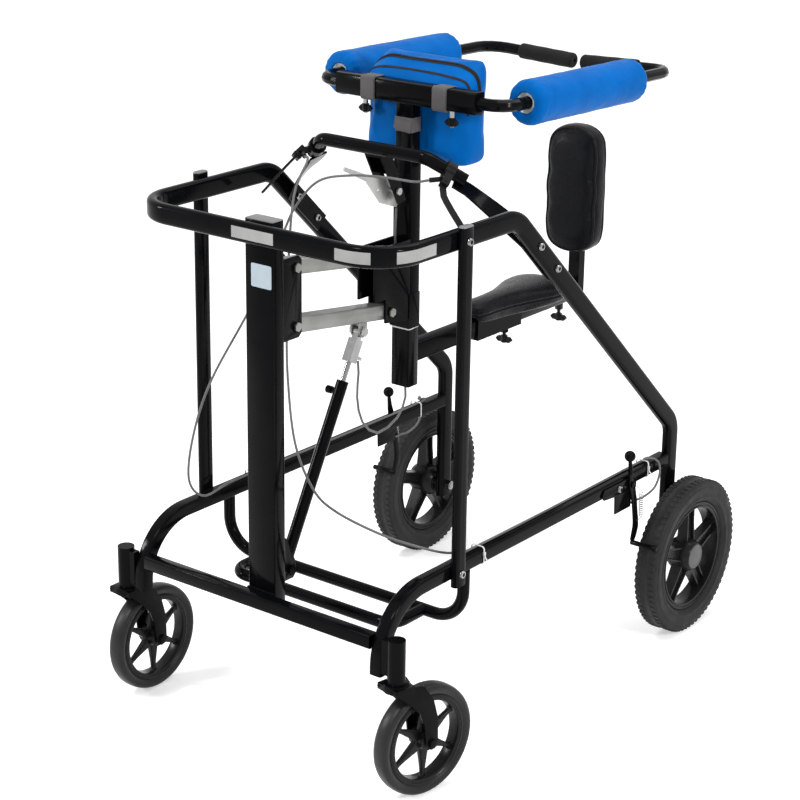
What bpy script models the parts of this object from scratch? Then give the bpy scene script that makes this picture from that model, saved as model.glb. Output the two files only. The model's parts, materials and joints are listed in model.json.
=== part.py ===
"""Rehabilitation walker with a lifting column, arm supports, saddle seat and brakes.

Metres, +Z up. The origin is on the floor under the middle of the walker. The casters
are at -Y. The user stands at +Y and faces -Y, so left, the user's left, is at +X.
"""
import math

import bmesh
import bpy
from mathutils import Matrix, Vector

# General
CLEAR = 0.0003
WALL = 0.002
JOINED = 0.001
MERGED = 0.00002
BEND_STEP = math.radians(22.5)
SMOOTH_ANGLE = math.radians(35)
EDGE_PULL = 2.2
SIDES = (("left", 1), ("right", -1))

# Side frames: one flat oval tube bent from rear leg to front ring and back
SIDE_X = 0.2725
OVAL_TALL = 0.036
OVAL_THICK = 0.020
OVAL_CORNER = 0.0085
RING_Z = 0.931
RING_CORNER_RADIUS = 0.078
KNEE_Y = -0.152
KNEE_RADIUS = 0.060
HIP_Z = 0.418
HIP_RADIUS = 0.050
LEG_BELOW_AXLE = 0.024

# Lower rails, front beam and mast
WELD_FACE_Y = -0.4955
BAR_SIZE = 0.025
BAR_CORNER = 0.004
RAIL_Z = 0.3475
RAIL_BEND_RADIUS = 0.110
RAIL_FOOT_Z = 0.225
BEAM_Z = 0.281
MAST_WIDTH = 0.060
MAST_DEPTH = 0.030
MAST_CORNER = 0.003
MAST_OVER_RING = 0.002
MAST_CAP = 0.003

# Uprights
UPRIGHT_WIDE = 0.030
UPRIGHT_THICK = 0.015
UPRIGHT_CORNER = 0.0065
UPRIGHT_Y = -0.319
UPRIGHT_UNDER_RAIL = 0.010
UPRIGHT_OVER_RING = 0.006
BOLT_RADIUS = 0.0065
BOLT_HEAD = 0.004

# Foot frame
FOOT_RADIUS = 0.011
FOOT_Y = -0.276
FOOT_Z = 0.235
FOOT_BEND_RADIUS = 0.060
FOOT_LOOP_X = 0.185
FOOT_LOOP_REACH = 0.089
FOOT_LOOP_RADIUS = 0.034

# Wheels
REAR_RADIUS = 0.154
REAR_WIDTH = 0.050
REAR_TYRE_BORE = 0.110
REAR_RIM_BORE = 0.097
REAR_HUB_RADIUS = 0.032
REAR_HUB_WIDTH = 0.056
REAR_CAP_RADIUS = 0.023
REAR_SPOKES = 5
REAR_STEPS = 28
REAR_AXLE_Y = 0.3985
AXLE_RADIUS = 0.006
AXLE_NUT_RADIUS = 0.010
AXLE_NUT = 0.012
AXLE_COLLAR = 0.006
AXLE_END_GAP = 0.002
REAR_HUB_END = 0.016
REAR_CAP_PROUD = 0.003
REAR_WHEEL_OUTSET = 0.004
REAR_SPOKE_SUNK = 0.004
REAR_SPOKE_WIDE = (0.030, 0.025)
REAR_SPOKE_DEPTH = (0.024, 0.018)
REAR_RIM_NARROWER = 0.016
CASTER_RIM_NARROWER = 0.006
TYRE_SHOULDER = 0.35
TYRE_SHOULDER_DROP = 0.30
CASTER_RADIUS = 0.100
CASTER_WIDTH = 0.032
CASTER_TYRE_BORE = 0.082
CASTER_RIM_BORE = 0.070
CASTER_HUB_RADIUS = 0.018
CASTER_HUB_WIDTH = 0.036
CASTER_SPOKES = 6
CASTER_STEPS = 24
CASTER_OUTSET = 0.0265
CASTER_STEM_Y = -0.512
CASTER_TRAIL = 0.0606
CASTER_SWIVEL_LEFT = math.radians(-11.2)
CASTER_SWIVEL_RIGHT = 0.0
CASTER_AXLE_RADIUS = 0.005
CASTER_NUT = 0.005
CASTER_NUT_RADIUS = 0.009
CASTER_SPOKE_SUNK = 0.002
CASTER_SPOKE_WIDE = (0.018, 0.007)
CASTER_SPOKE_DEPTH = (0.012, 0.008)
FORK_PLATE = 0.004
FORK_GAP = 0.003
FORK_TOP_Z = 0.222
FORK_CROWN = 0.014
FORK_TOP_HALF = 0.022
FORK_EYE_RADIUS = 0.013
FORK_BRIDGE_DEPTH = 0.0396
FORK_BRIDGE_TALL = 0.0112
FORK_BRIDGE_DROP = 0.0077
FORK_SWEEP = 0.0636
FORK_SWEEP_DROP = 0.028
FORK_STATIONS = 4
STEM_RADIUS = 0.010
RACE_WALL = 0.004
SLEEVE_WALL = 0.0052
SLEEVE_CAP = 0.0104
SLEEVE_BOTTOM_Z = 0.227
SLEEVE_TOP_Z = 0.2995
SLEEVE_WEB = 0.014
SLEEVE_WEB_SHORT = 0.010

# Lift linkage
ARM_WIDTH = 0.030
ARM_TALL = 0.027
ARM_CORNER = 0.002
ARM_TILT = math.radians(7.7)
ARM_REACH = 0.2575
ARM_END = 0.0130
FRONT_PIVOT_Y = -0.4225
LOWER_PIVOT_Z = 0.757
PIVOT_SPACING = 0.1025
PIN_RADIUS = 0.005
PIN_HEAD_RADIUS = 0.0085
PIN_HEAD = 0.004
CHEEK = 0.004
SIDE_GAP = 0.001
CHEEK_OVER_PIVOT = 0.0200
CHEEK_CHAMFER = 0.008

# Column, seat arm and chest post
COLUMN_WIDTH = 0.040
COLUMN_DEPTH = 0.030
COLUMN_CORNER = 0.003
COLUMN_Y = -0.098
COLUMN_BOTTOM_Z = 0.567
COLUMN_TOP_Z = 0.985
COLUMN_SLEEVE_TALL = 0.065
COLUMN_SLEEVE_WALL = 0.0025
COLUMN_SLEEVE_BELOW = 0.043
COLUMN_BOLT_BELOW = 0.024
COLUMN_CHEEK_STEP = 0.016
COLUMN_CHEEK_NOSE = 0.047
COLUMN_CHEEK_FOOT = 0.027
COLUMN_CHEEK_SLOPE = 0.010
COLUMN_CHEEK_TOP = 0.014
COLUMN_CHEEK_CHAMFER = 0.006
CABLE_HOLE_Z = 0.790
CABLE_HOLE_RADIUS = 0.005
SEAT_ARM_WIDTH = 0.028
SEAT_ARM_TALL = 0.036
SEAT_ARM_Z = 0.625
SEAT_ARM_END_Y = 0.430
POST_INSERT = 0.125
CROSSBAR_HALF = 0.152
CROSSBAR_DEPTH = 0.030
CROSSBAR_TALL = 0.038
CROSSBAR_Z = 1.103

# Arm supports
BAR_RADIUS = 0.011
ARM_BAR_X = 0.204
ARM_BAR_REAR_X = 0.210
ARM_BAR_REAR_Y = 0.440
ARM_BAR_REAR_Z = 1.091
ARM_BAR_TIP_Z = 1.083
ARM_BAR_FRONT_BEND = 0.040
ARM_BAR_REAR_BEND = 0.045
ARM_BAR_INSERT = 0.120
ARM_BAR_SOCKET_SPARE = 0.010
FOAM_RADIUS = 0.040
FOAM_RECESS_RADIUS = 0.024
FOAM_RECESS = 0.022
FOAM_START = 0.11
FOAM_LENGTH = 0.337
FOAM_EDGE = 0.004
FOAM_STEPS = 18
GRIP_RADIUS = 0.0150
GRIP_LENGTH = 0.125
GRIP_END_WALL = 0.006
GRIP_TIP_X = 0.009
ARM_KNOB_X = 0.095

# Cushions
PAD_WIDTH = 0.232
PAD_THICK = 0.088
PAD_CROWN = 0.014
PAD_TALL = 0.152
PAD_RISE = 0.033
PAD_OVER_BAR = 0.006
SADDLE_LENGTH = 0.268
SADDLE_HALF_REAR = 0.085
SADDLE_HALF_NOSE = 0.033
SADDLE_NOSE_SHARE = 0.30
SADDLE_ROUND_SHARE = 0.15
SADDLE_ROUND = 0.18
SADDLE_TALL = 0.043
SADDLE_SKIRT = 0.0136
SADDLE_CROWN = 0.30
SADDLE_TUCK = 0.92
SADDLE_FRONT_Y = 0.090
BACK_WIDTH = 0.134
BACK_TALL = 0.266
BACK_THICK = 0.053
BACK_CROWN = 0.006
BACK_CORNER_CUT = 0.016
BACK_Z = 0.832

# Backrest bar
BACK_BAR_DEPTH = 0.020
BACK_BAR_GAP = 0.022
BACK_BAR_INSERT = 0.122
BACK_BAR_IN_PAD = 0.120

# Saddle clamp and wing knobs
CLAMP_FRONT_Y = 0.104
CLAMP_LENGTH = 0.142
CLAMP_WALL = 0.004
CLAMP_BOSS = 0.012
SEAT_KNOB_Y = 0.216
BACK_KNOB_Y = 0.404
SCREW_RADIUS = 0.0035
BOSS_RADIUS = 0.008
KNOB_DROP = 0.014
BACK_KNOB_DROP = 0.023
BACK_NUT_DROP = 0.014
KNOB_TALL = 0.014
KNOB_HUB_RADIUS = 0.006
KNOB_HUB_TOP_RADIUS = 0.007
ARM_WING_SPAN = 0.028
SEAT_WING_SPAN = 0.036
WING_TALL = 0.0112
WING_CORNER = 0.005
WING_DROP = 0.0077
WING_THICK = 0.006

# Gas strut
STRUT_FOOT_Y = -0.435
STRUT_FOOT_Z = 0.318
STRUT_HEAD_ALONG = 0.1905
STRUT_HEAD_BELOW = 0.031
STRUT_RADIUS = 0.011
STRUT_ROD_RADIUS = 0.005
STRUT_ROD_SHOWN = 0.0353
STRUT_BORE_LENGTH = 0.170
STRUT_ROD_INSERT = 0.105
STRUT_EYE_RADIUS = 0.008
STRUT_EYE_GAP = 0.004
STRUT_NECK_RADIUS = 0.0064
STRUT_VALVE_DROP = 0.020
STRUT_VALVE_RADIUS = 0.004
STRUT_VALVE_REACH = 0.008
VALVE_KNOB_RADIUS = 0.007
VALVE_KNOB_START = 0.006
VALVE_KNOB_END = 0.016
STRUT_HEAD_WIDTH = 0.018
STRUT_HEAD_SIZE = 0.020
STRUT_WEB = 0.011
TONGUE_UP = 0.012
TONGUE_OUT = 0.018
TONGUE_WIDTH = 0.008
TONGUE_THICK = 0.006
STRUT_HEAD_GAP = 0.0155
STRUT_HEAD_LENGTH = 0.042
STRUT_PIN_RADIUS = 0.004
STRUT_PIN_PLAY = 0.0020
LUG_THICK = 0.003
LUG_INSIDE = 0.0075
LUG_HALF = 0.011
LUG_ROOT = 0.006
LUG_STEPS = 6
FOOT_CHEEK_GAP = 0.0015
FOOT_CHEEK_PAST = 0.013
FOOT_CHEEK_BELOW = 0.018
FOOT_CHEEK_ABOVE = 0.012
FOOT_CHEEK_CHAMFER = 0.007
FOOT_CHEEK_RISE = 0.062
FOOT_CHEEK_TOP = 0.018

# Handlebar
HANDLEBAR_RADIUS = 0.011
HANDLEBAR_END = Vector((0.168, -0.155, 0.982))
HANDLEBAR_SHOULDER = Vector((0.115, -0.195, 1.020))
HANDLEBAR_BEND = 0.030

# Channel under the handlebar, as (y, z) from the bar: front and rear of its top, then of its foot
CHANNEL_WIDTH = 0.036
CHANNEL_WALL = 0.003
CHANNEL_TOP = ((-0.008, -0.001), (0.027, -0.008))
CHANNEL_FOOT = ((0.049, -0.106), (0.0715, -0.102))
CHANNEL_ROOF = 0.016
CHANNEL_BACK_END = 0.055

# Release lever: its pivot from the bar and its outline from the pivot, as (y, z)
RELEASE_FROM_BAR = (0.048, -0.082)
RELEASE_THICK = 0.003
RELEASE_PIN_HEAD = 0.0065
RELEASE_OUTLINE = (
    (-0.1256, 0.0624), (-0.1300, 0.0570), (-0.0683, 0.0270), (-0.0287, -0.0187),
    (0.0170, -0.0345), (0.0225, -0.0280), (-0.0012, 0.0208), (-0.0420, 0.0290),
)
RELEASE_EYELET = (-0.0347, 0.0056)
RELEASE_EYELET_RADIUS = 0.003
RELEASE_CABLE_END = (0.0182, -0.0361)

# Stays
STAY_WIDTH = 0.034
STAY_THICK = 0.004
STAY_BOLTS = (-0.036, -0.090)
STAY_END = 0.020
STAY_LIFT_OFF = 0.016
STAY_MIDDLE = Vector((0.223, -0.124, 0.922))
STAY_TOP_WIDTH = Vector((-0.30, 0.92, 0.25))
STAY_OVERHANG = 0.012
STAY_LAP = 0.016
STAY_STEP = 0.026

# Hand brakes
MOUNT_AT = 0.58
MOUNT_LENGTH = 0.018
MOUNT_WALL = 0.005
MOUNT_REACH = Vector((0.016, -0.034, -0.012))
MOUNT_NECK_RADIUS = 0.0065
MOUNT_NECK_SUNK = 0.004
EAR_HALF = 0.0075
EAR_LENGTH = 0.0245
EAR_TALL = 0.0145
EAR_EYE_RADIUS = 0.0068
EAR_ROOT = 0.0108
EAR_SLOT = 0.030
ADJUSTER_DIRECTION = Vector((-0.75, -0.62, -0.10))
ADJUSTER_LENGTH = 0.030
ADJUSTER_RADIUS = 0.0045
LEVER_CURVE = Vector((0.0154, -0.0183, -0.0134))
LEVER_REACH = Vector((0.0619, -0.0224, -0.0727))
LEVER_THICK = 0.004
LEVER_WIDTH = 0.011
LEVER_STEP = 0.014
LEVER_PIN_RADIUS = 0.0020

# Parking brakes
PARK_PLATE = 0.003
PARK_LEVER = 0.004
PARK_LEVER_GAP = 0.0010
PARK_PIVOT = (0.2377, 0.3405)
PARK_KNOB = (0.2265, 0.4000)
PARK_HEEL = (0.2600, 0.2500)
PARK_ELBOW = (0.2497, 0.3045)
PARK_BAND = (0.007, 0.0095, 0.008, 0.010, 0.007)
PARK_BRACKET = (
    (-0.098, -0.018), (-0.090, -0.026), (-0.052, -0.030), (-0.050, -0.066), (0.004, -0.066),
    (0.006, -0.040), (0.022, -0.030), (0.022, -0.016), (0.012, -0.006), (-0.090, -0.006),
)
PARK_BOLT = (-0.039, 0.0015)
PARK_HEAD = 0.0035
PARK_KNOB_LENGTH = 0.016
PARK_KNOB_RADIUS = 0.0095
SHOE_SHORT = 0.003
SHOE_RADIUS = 0.005
SHOE_GAP = 0.003
SHOE_ANGLE = math.radians(156.7)

# Cables
CABLE_RADIUS = 0.0022
CABLE_STEP = 0.038
BARREL_LEAD = 0.025
LEFT_CABLE = (
    (0.0871, -0.272, 0.996), (0.0300, -0.291, 0.994), (-0.0450, -0.288, 0.972),
    (-0.1132, -0.268, 0.913), (-0.1400, -0.275, 0.855), (-0.1627, -0.330, 0.738),
    (-0.2148, -0.380, 0.602), (-0.2420, -0.400, 0.500), (-0.2520, -0.405, 0.410),
    (-0.2480, -0.370, 0.368), (-0.2580, -0.290, 0.368),
)
RIGHT_CABLE = (
    (-0.0980, -0.290, 0.940), (-0.0860, -0.320, 0.830), (-0.0818, -0.330, 0.717),
    (-0.0497, -0.365, 0.633), (-0.0081, -0.395, 0.534), (0.0403, -0.405, 0.465),
    (0.0849, -0.400, 0.434), (0.1684, -0.390, 0.413), (0.2367, -0.370, 0.400),
    (0.2620, -0.300, 0.371),
)
RAIL_CABLE_Y = (-0.220, 0.280)
RAIL_CABLE_INSET = 0.004
PARK_CABLE_STOP = 0.0052

# Worked out from the sizes above
RAIL_X = SIDE_X + (OVAL_THICK - BAR_SIZE) / 2
RAIL_FRONT_Y = WELD_FACE_Y - BAR_SIZE / 2
RAIL_REAR_Y = REAR_AXLE_Y - OVAL_TALL / 2 - CLEAR
RING_FRONT_Y = WELD_FACE_Y - OVAL_THICK / 2
FRAME_OUTSIDE_X = SIDE_X + OVAL_THICK / 2
FRAME_INSIDE_X = SIDE_X - OVAL_THICK / 2
MAST_Y = WELD_FACE_Y + CLEAR + MAST_DEPTH / 2
MAST_BACK_Y = MAST_Y + MAST_DEPTH / 2
MAST_TOP_Z = RING_Z + OVAL_TALL / 2 + MAST_OVER_RING
UPRIGHT_X = FRAME_OUTSIDE_X + CLEAR + UPRIGHT_THICK / 2
STEM_X = FRAME_OUTSIDE_X + CASTER_OUTSET
HUB_INSIDE_X = FRAME_OUTSIDE_X + 2 * CLEAR + AXLE_COLLAR
REAR_WHEEL_X = HUB_INSIDE_X + REAR_HUB_WIDTH / 2 + REAR_WHEEL_OUTSET
REAR_BORE_END_X = HUB_INSIDE_X + REAR_HUB_WIDTH - REAR_HUB_END
UPPER_PIVOT_Z = LOWER_PIVOT_Z + PIVOT_SPACING
ARM_DROP = ARM_REACH * math.tan(ARM_TILT)
REAR_PIVOT_Y = FRONT_PIVOT_Y + ARM_REACH
CHEEK_INSIDE = ARM_WIDTH / 2 + SIDE_GAP
PIN_REACH = CHEEK_INSIDE + CHEEK + SIDE_GAP + PIN_HEAD
COLUMN_FRONT_Y = COLUMN_Y - COLUMN_DEPTH / 2
COLUMN_BACK_Y = COLUMN_Y + COLUMN_DEPTH / 2
SEAT_ARM_FRONT_Y = COLUMN_BACK_Y + CLEAR
SEAT_ARM_TOP_Z = SEAT_ARM_Z + SEAT_ARM_TALL / 2
SEAT_ARM_UNDER_Z = SEAT_ARM_Z - SEAT_ARM_TALL / 2
SADDLE_Z = SEAT_ARM_TOP_Z + CLEAR + CLAMP_WALL + CLEAR
BACK_BAR_Y = SEAT_ARM_END_Y + BACK_BAR_GAP + BACK_BAR_DEPTH / 2
STRUT_HEAD_Y = FRONT_PIVOT_Y + STRUT_HEAD_ALONG
STRUT_HEAD_Z = LOWER_PIVOT_Z - STRUT_HEAD_ALONG * math.tan(ARM_TILT) - STRUT_HEAD_BELOW
RELEASE_PIVOT = Vector((0, HANDLEBAR_SHOULDER.y + RELEASE_FROM_BAR[0],
                        HANDLEBAR_SHOULDER.z + RELEASE_FROM_BAR[1]))
PARK_LEVER_X = FRAME_OUTSIDE_X + CLEAR + PARK_PLATE + PARK_LEVER_GAP + PARK_LEVER / 2


# Scene handling

def clear_scene():
    for item in list(bpy.data.objects):
        bpy.data.objects.remove(item, do_unlink=True)


def make_collection(name):
    group = bpy.data.collections.new(name)
    bpy.context.scene.collection.children.link(group)
    return group


def paint(name, colour, roughness, metallic=0.0):
    """Principled material, made once for each name."""
    if name in bpy.data.materials:
        return bpy.data.materials[name]
    material = bpy.data.materials.new(name)
    material.use_nodes = True
    shader = material.node_tree.nodes["Principled BSDF"]
    shader.inputs["Base Color"].default_value = (*colour, 1.0)
    shader.inputs["Roughness"].default_value = roughness
    shader.inputs["Metallic"].default_value = metallic
    material.diffuse_color = (*colour, 1.0)
    return material


def black_paint():
    return paint("black_paint", (0.012, 0.012, 0.014), 0.35)


def black_plastic():
    return paint("black_plastic", (0.02, 0.02, 0.022), 0.55)


def bright_steel():
    return paint("bright_steel", (0.72, 0.72, 0.70), 0.28, 1.0)


def silver_arm():
    return paint("silver_arm", (0.45, 0.46, 0.46), 0.42, 0.9)


def wheel_rubber():
    return paint("wheel_rubber", (0.045, 0.045, 0.045), 0.75)


def rim_plastic():
    return paint("rim_plastic", (0.03, 0.03, 0.032), 0.5)


def blue_vinyl():
    return paint("blue_vinyl", (0.005, 0.10, 0.62), 0.45)


def black_vinyl():
    return paint("black_vinyl", (0.010, 0.011, 0.014), 0.38)


def grip_foam():
    return paint("grip_foam", (0.015, 0.015, 0.015), 0.85)


def cable_grey():
    return paint("cable_grey", (0.09, 0.09, 0.09), 0.5)


def place(name, mesh, material, carrier=None):
    """Named object with its material, its origin on its carrier's joint axis."""
    item = bpy.data.objects.new(name, mesh)
    mesh.name = name
    mesh.materials.clear()
    mesh.materials.append(material)
    if carrier is not None:
        mesh.transform(Matrix.Translation(-world_place(carrier)))
        item.parent = carrier
    mesh.shade_smooth()
    mesh.set_sharp_from_angle(angle=SMOOTH_ANGLE)
    parts.objects.link(item)
    return item


def world_place(carrier):
    """Place of an empty before any swivel, summed up its chain of parents."""
    total = Vector((0, 0, 0))
    while carrier is not None:
        total += carrier.location
        carrier = carrier.parent
    return total


def joint(name, at, parent=None):
    """Empty on a joint's axis, which carries the pieces of one moving body."""
    empty = bpy.data.objects.new(name, None)
    empty.empty_display_size = 0.02
    empty.parent = parent
    empty.location = Vector(at) - world_place(parent)
    parts.objects.link(empty)
    return empty


def flipped(point):
    return Vector((-point.x, point.y, point.z))


def flipped_mesh(mesh):
    """Mirror image across the middle plane."""
    copy = mesh.copy()
    work = bmesh.new()
    work.from_mesh(copy)
    bmesh.ops.scale(work, vec=(-1, 1, 1), verts=work.verts)
    bmesh.ops.reverse_faces(work, faces=work.faces)
    work.to_mesh(copy)
    work.free()
    return copy


def place_side(kind, name, side, mesh, material, carrier=None):
    """Left piece as modelled, right piece mirrored."""
    own = mesh.copy() if side > 0 else flipped_mesh(mesh)
    place(f"{kind}_{name}", own, material, carrier)


def place_pair(kind, mesh, material):
    for name, side in SIDES:
        place_side(kind, name, side, mesh, material())


def spare(name, mesh):
    """Object in the cutters collection, which holds what is used up by a join or a cut."""
    item = bpy.data.objects.new(name, mesh)
    cutters.objects.link(item)
    item.hide_render = True
    item.display_type = "WIRE"
    return item


def evaluated(item):
    """Mesh of an object with its modifiers applied; the object is removed."""
    graph = bpy.context.evaluated_depsgraph_get()
    mesh = bpy.data.meshes.new_from_object(item.evaluated_get(graph))
    bpy.data.objects.remove(item, do_unlink=True)
    work = bmesh.new()
    work.from_mesh(mesh)
    bmesh.ops.remove_doubles(work, verts=work.verts, dist=MERGED)
    bmesh.ops.dissolve_degenerate(work, edges=work.edges, dist=MERGED)
    work.to_mesh(mesh)
    work.free()
    return mesh


def combine(base, joins=(), cuts=()):
    """Mesh of a base with other meshes joined to it, and then others cut from it."""
    item = spare("base", base)
    operands = []
    for operation, meshes in (("UNION", joins), ("DIFFERENCE", cuts)):
        for mesh in meshes:
            operand = spare(operation.lower(), mesh)
            operands.append(operand)
            modifier = item.modifiers.new(operation.lower(), "BOOLEAN")
            modifier.operation = operation
            modifier.solver = "EXACT"
            modifier.object = operand
    result = evaluated(item)
    for operand in operands:
        bpy.data.objects.remove(operand, do_unlink=True)
    return result


# Shapes

def to_mesh(item, name, weld=0.00001):
    """Mesh of an evaluated curve object, with its caps welded on; the curve is removed."""
    graph = bpy.context.evaluated_depsgraph_get()
    mesh = bpy.data.meshes.new_from_object(item.evaluated_get(graph))
    mesh.name = name
    work = bmesh.new()
    work.from_mesh(mesh)
    bmesh.ops.remove_doubles(work, verts=work.verts, dist=weld)
    bmesh.ops.recalc_face_normals(work, faces=work.faces)
    work.to_mesh(mesh)
    work.free()
    mesh.transform(item.matrix_world)
    bpy.data.objects.remove(item, do_unlink=True)
    return mesh


def box(size, centre, turn=None):
    """Box mesh of a size about a centre, turned by a matrix first if given."""
    work = bmesh.new()
    bmesh.ops.create_cube(work, size=1.0)
    bmesh.ops.scale(work, vec=size, verts=work.verts)
    if turn is not None:
        bmesh.ops.transform(work, matrix=turn, verts=work.verts)
    bmesh.ops.translate(work, vec=centre, verts=work.verts)
    mesh = bpy.data.meshes.new("box")
    work.to_mesh(mesh)
    work.free()
    return mesh


def along(start, end):
    """Matrix that takes the Z axis and the origin to a line's direction and middle."""
    start, end = Vector(start), Vector(end)
    turn = (end - start).to_track_quat("Z", "Y").to_matrix().to_4x4()
    return Matrix.Translation((start + end) / 2) @ turn


def rod(start, end, radius, sides=12, end_radius=None):
    """Cylinder, or cone with two radii, between two points."""
    work = bmesh.new()
    bmesh.ops.create_cone(
        work,
        cap_ends=True,
        segments=sides,
        radius1=radius,
        radius2=radius if end_radius is None else end_radius,
        depth=(Vector(end) - Vector(start)).length,
        matrix=along(start, end),
    )
    mesh = bpy.data.meshes.new("rod")
    work.to_mesh(mesh)
    work.free()
    return mesh


def filleted(points, radii, step=BEND_STEP):
    """Route through corner points, each inner corner rounded to its radius."""
    points = [Vector(point) for point in points]
    route = [points[0]]
    for index in range(1, len(points) - 1):
        corner = points[index]
        back = (points[index - 1] - corner).normalized()
        ahead = (points[index + 1] - corner).normalized()
        turn = math.pi - back.angle(ahead)
        radius = radii[index - 1]
        run = radius * math.tan(turn / 2)
        middle = (back + ahead).normalized()
        centre = corner + middle * radius / math.cos(turn / 2)
        first = corner + back * run - centre
        axis = back.cross(ahead).normalized()
        count = max(2, round(turn / step))
        for part in range(count + 1):
            swing = Matrix.Rotation(-turn * part / count, 3, axis)
            route.append(centre + swing @ first)
    route.append(points[-1])
    return route


def smooth_route(points, spacing):
    """Points read off a smooth curve through hand-chosen points, about one spacing apart."""
    knots = [Vector(point) for point in points]
    padded = [knots[0] * 2 - knots[1]] + knots + [knots[-1] * 2 - knots[-2]]
    route = []
    for index in range(len(knots) - 1):
        a, b, c, d = padded[index:index + 4]
        count = max(1, round((c - b).length / spacing))
        for part in range(count):
            t = part / count
            route.append(0.5 * (2 * b + (c - a) * t + (2 * a - 5 * b + 4 * c - d) * t ** 2
                                + (3 * b - 3 * c + d - a) * t ** 3))
    route.append(knots[-1])
    return route


def poly_curve(name, route, cyclic=False):
    """3D curve object with one straight-edged spline along a route."""
    data = bpy.data.curves.new(name, "CURVE")
    data.dimensions = "3D"
    spline = data.splines.new("POLY")
    spline.points.add(len(route) - 1)
    for point, place_at in zip(spline.points, route):
        point.co = (*place_at, 1.0)
    spline.use_cyclic_u = cyclic
    item = bpy.data.objects.new(name, data)
    bpy.context.scene.collection.objects.link(item)
    return item


def tube(route, radius, resolution=3):
    """Round bar along a route, with closed ends."""
    item = poly_curve("tube", route)
    item.data.bevel_depth = radius
    item.data.bevel_resolution = resolution
    item.data.use_fill_caps = True
    return to_mesh(item, "tube")


def rounded_outline(width, height, corner, steps=2):
    """Rectangle outline with round corners, counter-clockwise about the origin."""
    outline = []
    centres = ((1, 1), (-1, 1), (-1, -1), (1, -1))
    for quarter, (right, up) in enumerate(centres):
        middle = Vector((right * (width / 2 - corner), up * (height / 2 - corner)))
        for part in range(steps + 1):
            angle = math.pi / 2 * (quarter + part / steps)
            outline.append(middle + corner * Vector((math.cos(angle), math.sin(angle))))
    return outline


def swept(route, width, height, corner, steps=2):
    """Bar of a rounded rectangular section along a route, with closed ends."""
    guide = poly_curve("section", [(*p, 0.0) for p in rounded_outline(width, height, corner, steps)],
                       cyclic=True)
    guide.data.dimensions = "2D"
    guide.data.fill_mode = "NONE"
    guide.hide_render = True
    guide.display_type = "WIRE"
    item = poly_curve("swept", route)
    item.data.bevel_mode = "OBJECT"
    item.data.bevel_object = guide
    item.data.use_fill_caps = True
    item.data.twist_mode = "MINIMUM"
    mesh = to_mesh(item, "swept")
    bpy.data.objects.remove(guide, do_unlink=True)
    return mesh


def plate(outline, thickness, centre, normal="X"):
    """Flat plate from an outline, extruded evenly about a centre along one world axis."""
    data = bpy.data.curves.new("plate", "CURVE")
    data.dimensions = "2D"
    data.fill_mode = "BOTH"
    data.extrude = thickness / 2
    for loop in (outline if isinstance(outline[0], list) else [outline]):
        spline = data.splines.new("POLY")
        spline.points.add(len(loop) - 1)
        for point, place_at in zip(spline.points, loop):
            point.co = (place_at[0], place_at[1], 0.0, 1.0)
        spline.use_cyclic_u = True
    item = bpy.data.objects.new("plate", data)
    bpy.context.scene.collection.objects.link(item)
    # The outline's two axes become world Y and Z for normal X, X and Y for normal Z,
    # and X and Z for normal Y
    columns = {
        "X": ((0, 0, 1), (1, 0, 0), (0, 1, 0)),
        "Y": ((1, 0, 0), (0, 0, -1), (0, 1, 0)),
        "Z": ((1, 0, 0), (0, 1, 0), (0, 0, 1)),
    }[normal]
    item.matrix_world = Matrix.Translation(centre) @ Matrix(columns).to_4x4()
    bpy.context.view_layer.update()
    return to_mesh(item, "plate")


def turned(profile, axis_point, axis, steps=32):
    """Solid of revolution from (radius, height) points listed top to bottom."""
    mesh = bpy.data.meshes.new("profile")
    verts = [(radius, 0.0, height) for radius, height in profile]
    edges = [(index, index + 1) for index in range(len(verts) - 1)]
    if profile[0][0] > 0 or profile[-1][0] > 0:
        edges.append((len(verts) - 1, 0))
    mesh.from_pydata(verts, edges, [])
    item = bpy.data.objects.new("turned", mesh)
    bpy.context.scene.collection.objects.link(item)
    screw = item.modifiers.new("turn", "SCREW")
    screw.axis = "Z"
    screw.steps = steps
    screw.render_steps = steps
    screw.use_merge_vertices = True
    screw.merge_threshold = 0.00001
    turn = Vector(axis).to_track_quat("Z", "Y").to_matrix().to_4x4()
    item.matrix_world = Matrix.Translation(axis_point) @ turn
    bpy.context.view_layer.update()
    return to_mesh(item, "turned")


def rod_along_x(centre, length, radius, sides=12):
    """Cylinder of a length about a centre, along the X axis."""
    half = Vector((length / 2, 0, 0))
    centre = Vector(centre)
    return rod(centre - half, centre + half, radius, sides)


def upright_bar(x, y, bottom, top, width, depth, corner):
    """Vertical bar of a rounded rectangular section, width along X and depth along Y."""
    outline = [(x + point.x, y + point.y) for point in rounded_outline(width, depth, corner)]
    return plate(outline, top - bottom, (0, 0, (top + bottom) / 2), normal="Z")


# Frame

def side_route():
    """Corner points of the left side frame, from the foot of the leg to the ring."""
    return [
        Vector((SIDE_X, REAR_AXLE_Y, REAR_RADIUS - LEG_BELOW_AXLE)),
        Vector((SIDE_X, REAR_AXLE_Y, HIP_Z)),
        Vector((SIDE_X, KNEE_Y, RING_Z)),
        Vector((SIDE_X, RING_FRONT_Y, RING_Z)),
    ]


def diagonal_point(y):
    """Point of the left diagonal's centre line at a given y."""
    hip, knee = side_route()[1:3]
    return hip.lerp(knee, (y - hip.y) / (knee.y - hip.y))


def stay_bolt_points():
    return [diagonal_point(y) for y in STAY_BOLTS]


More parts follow.
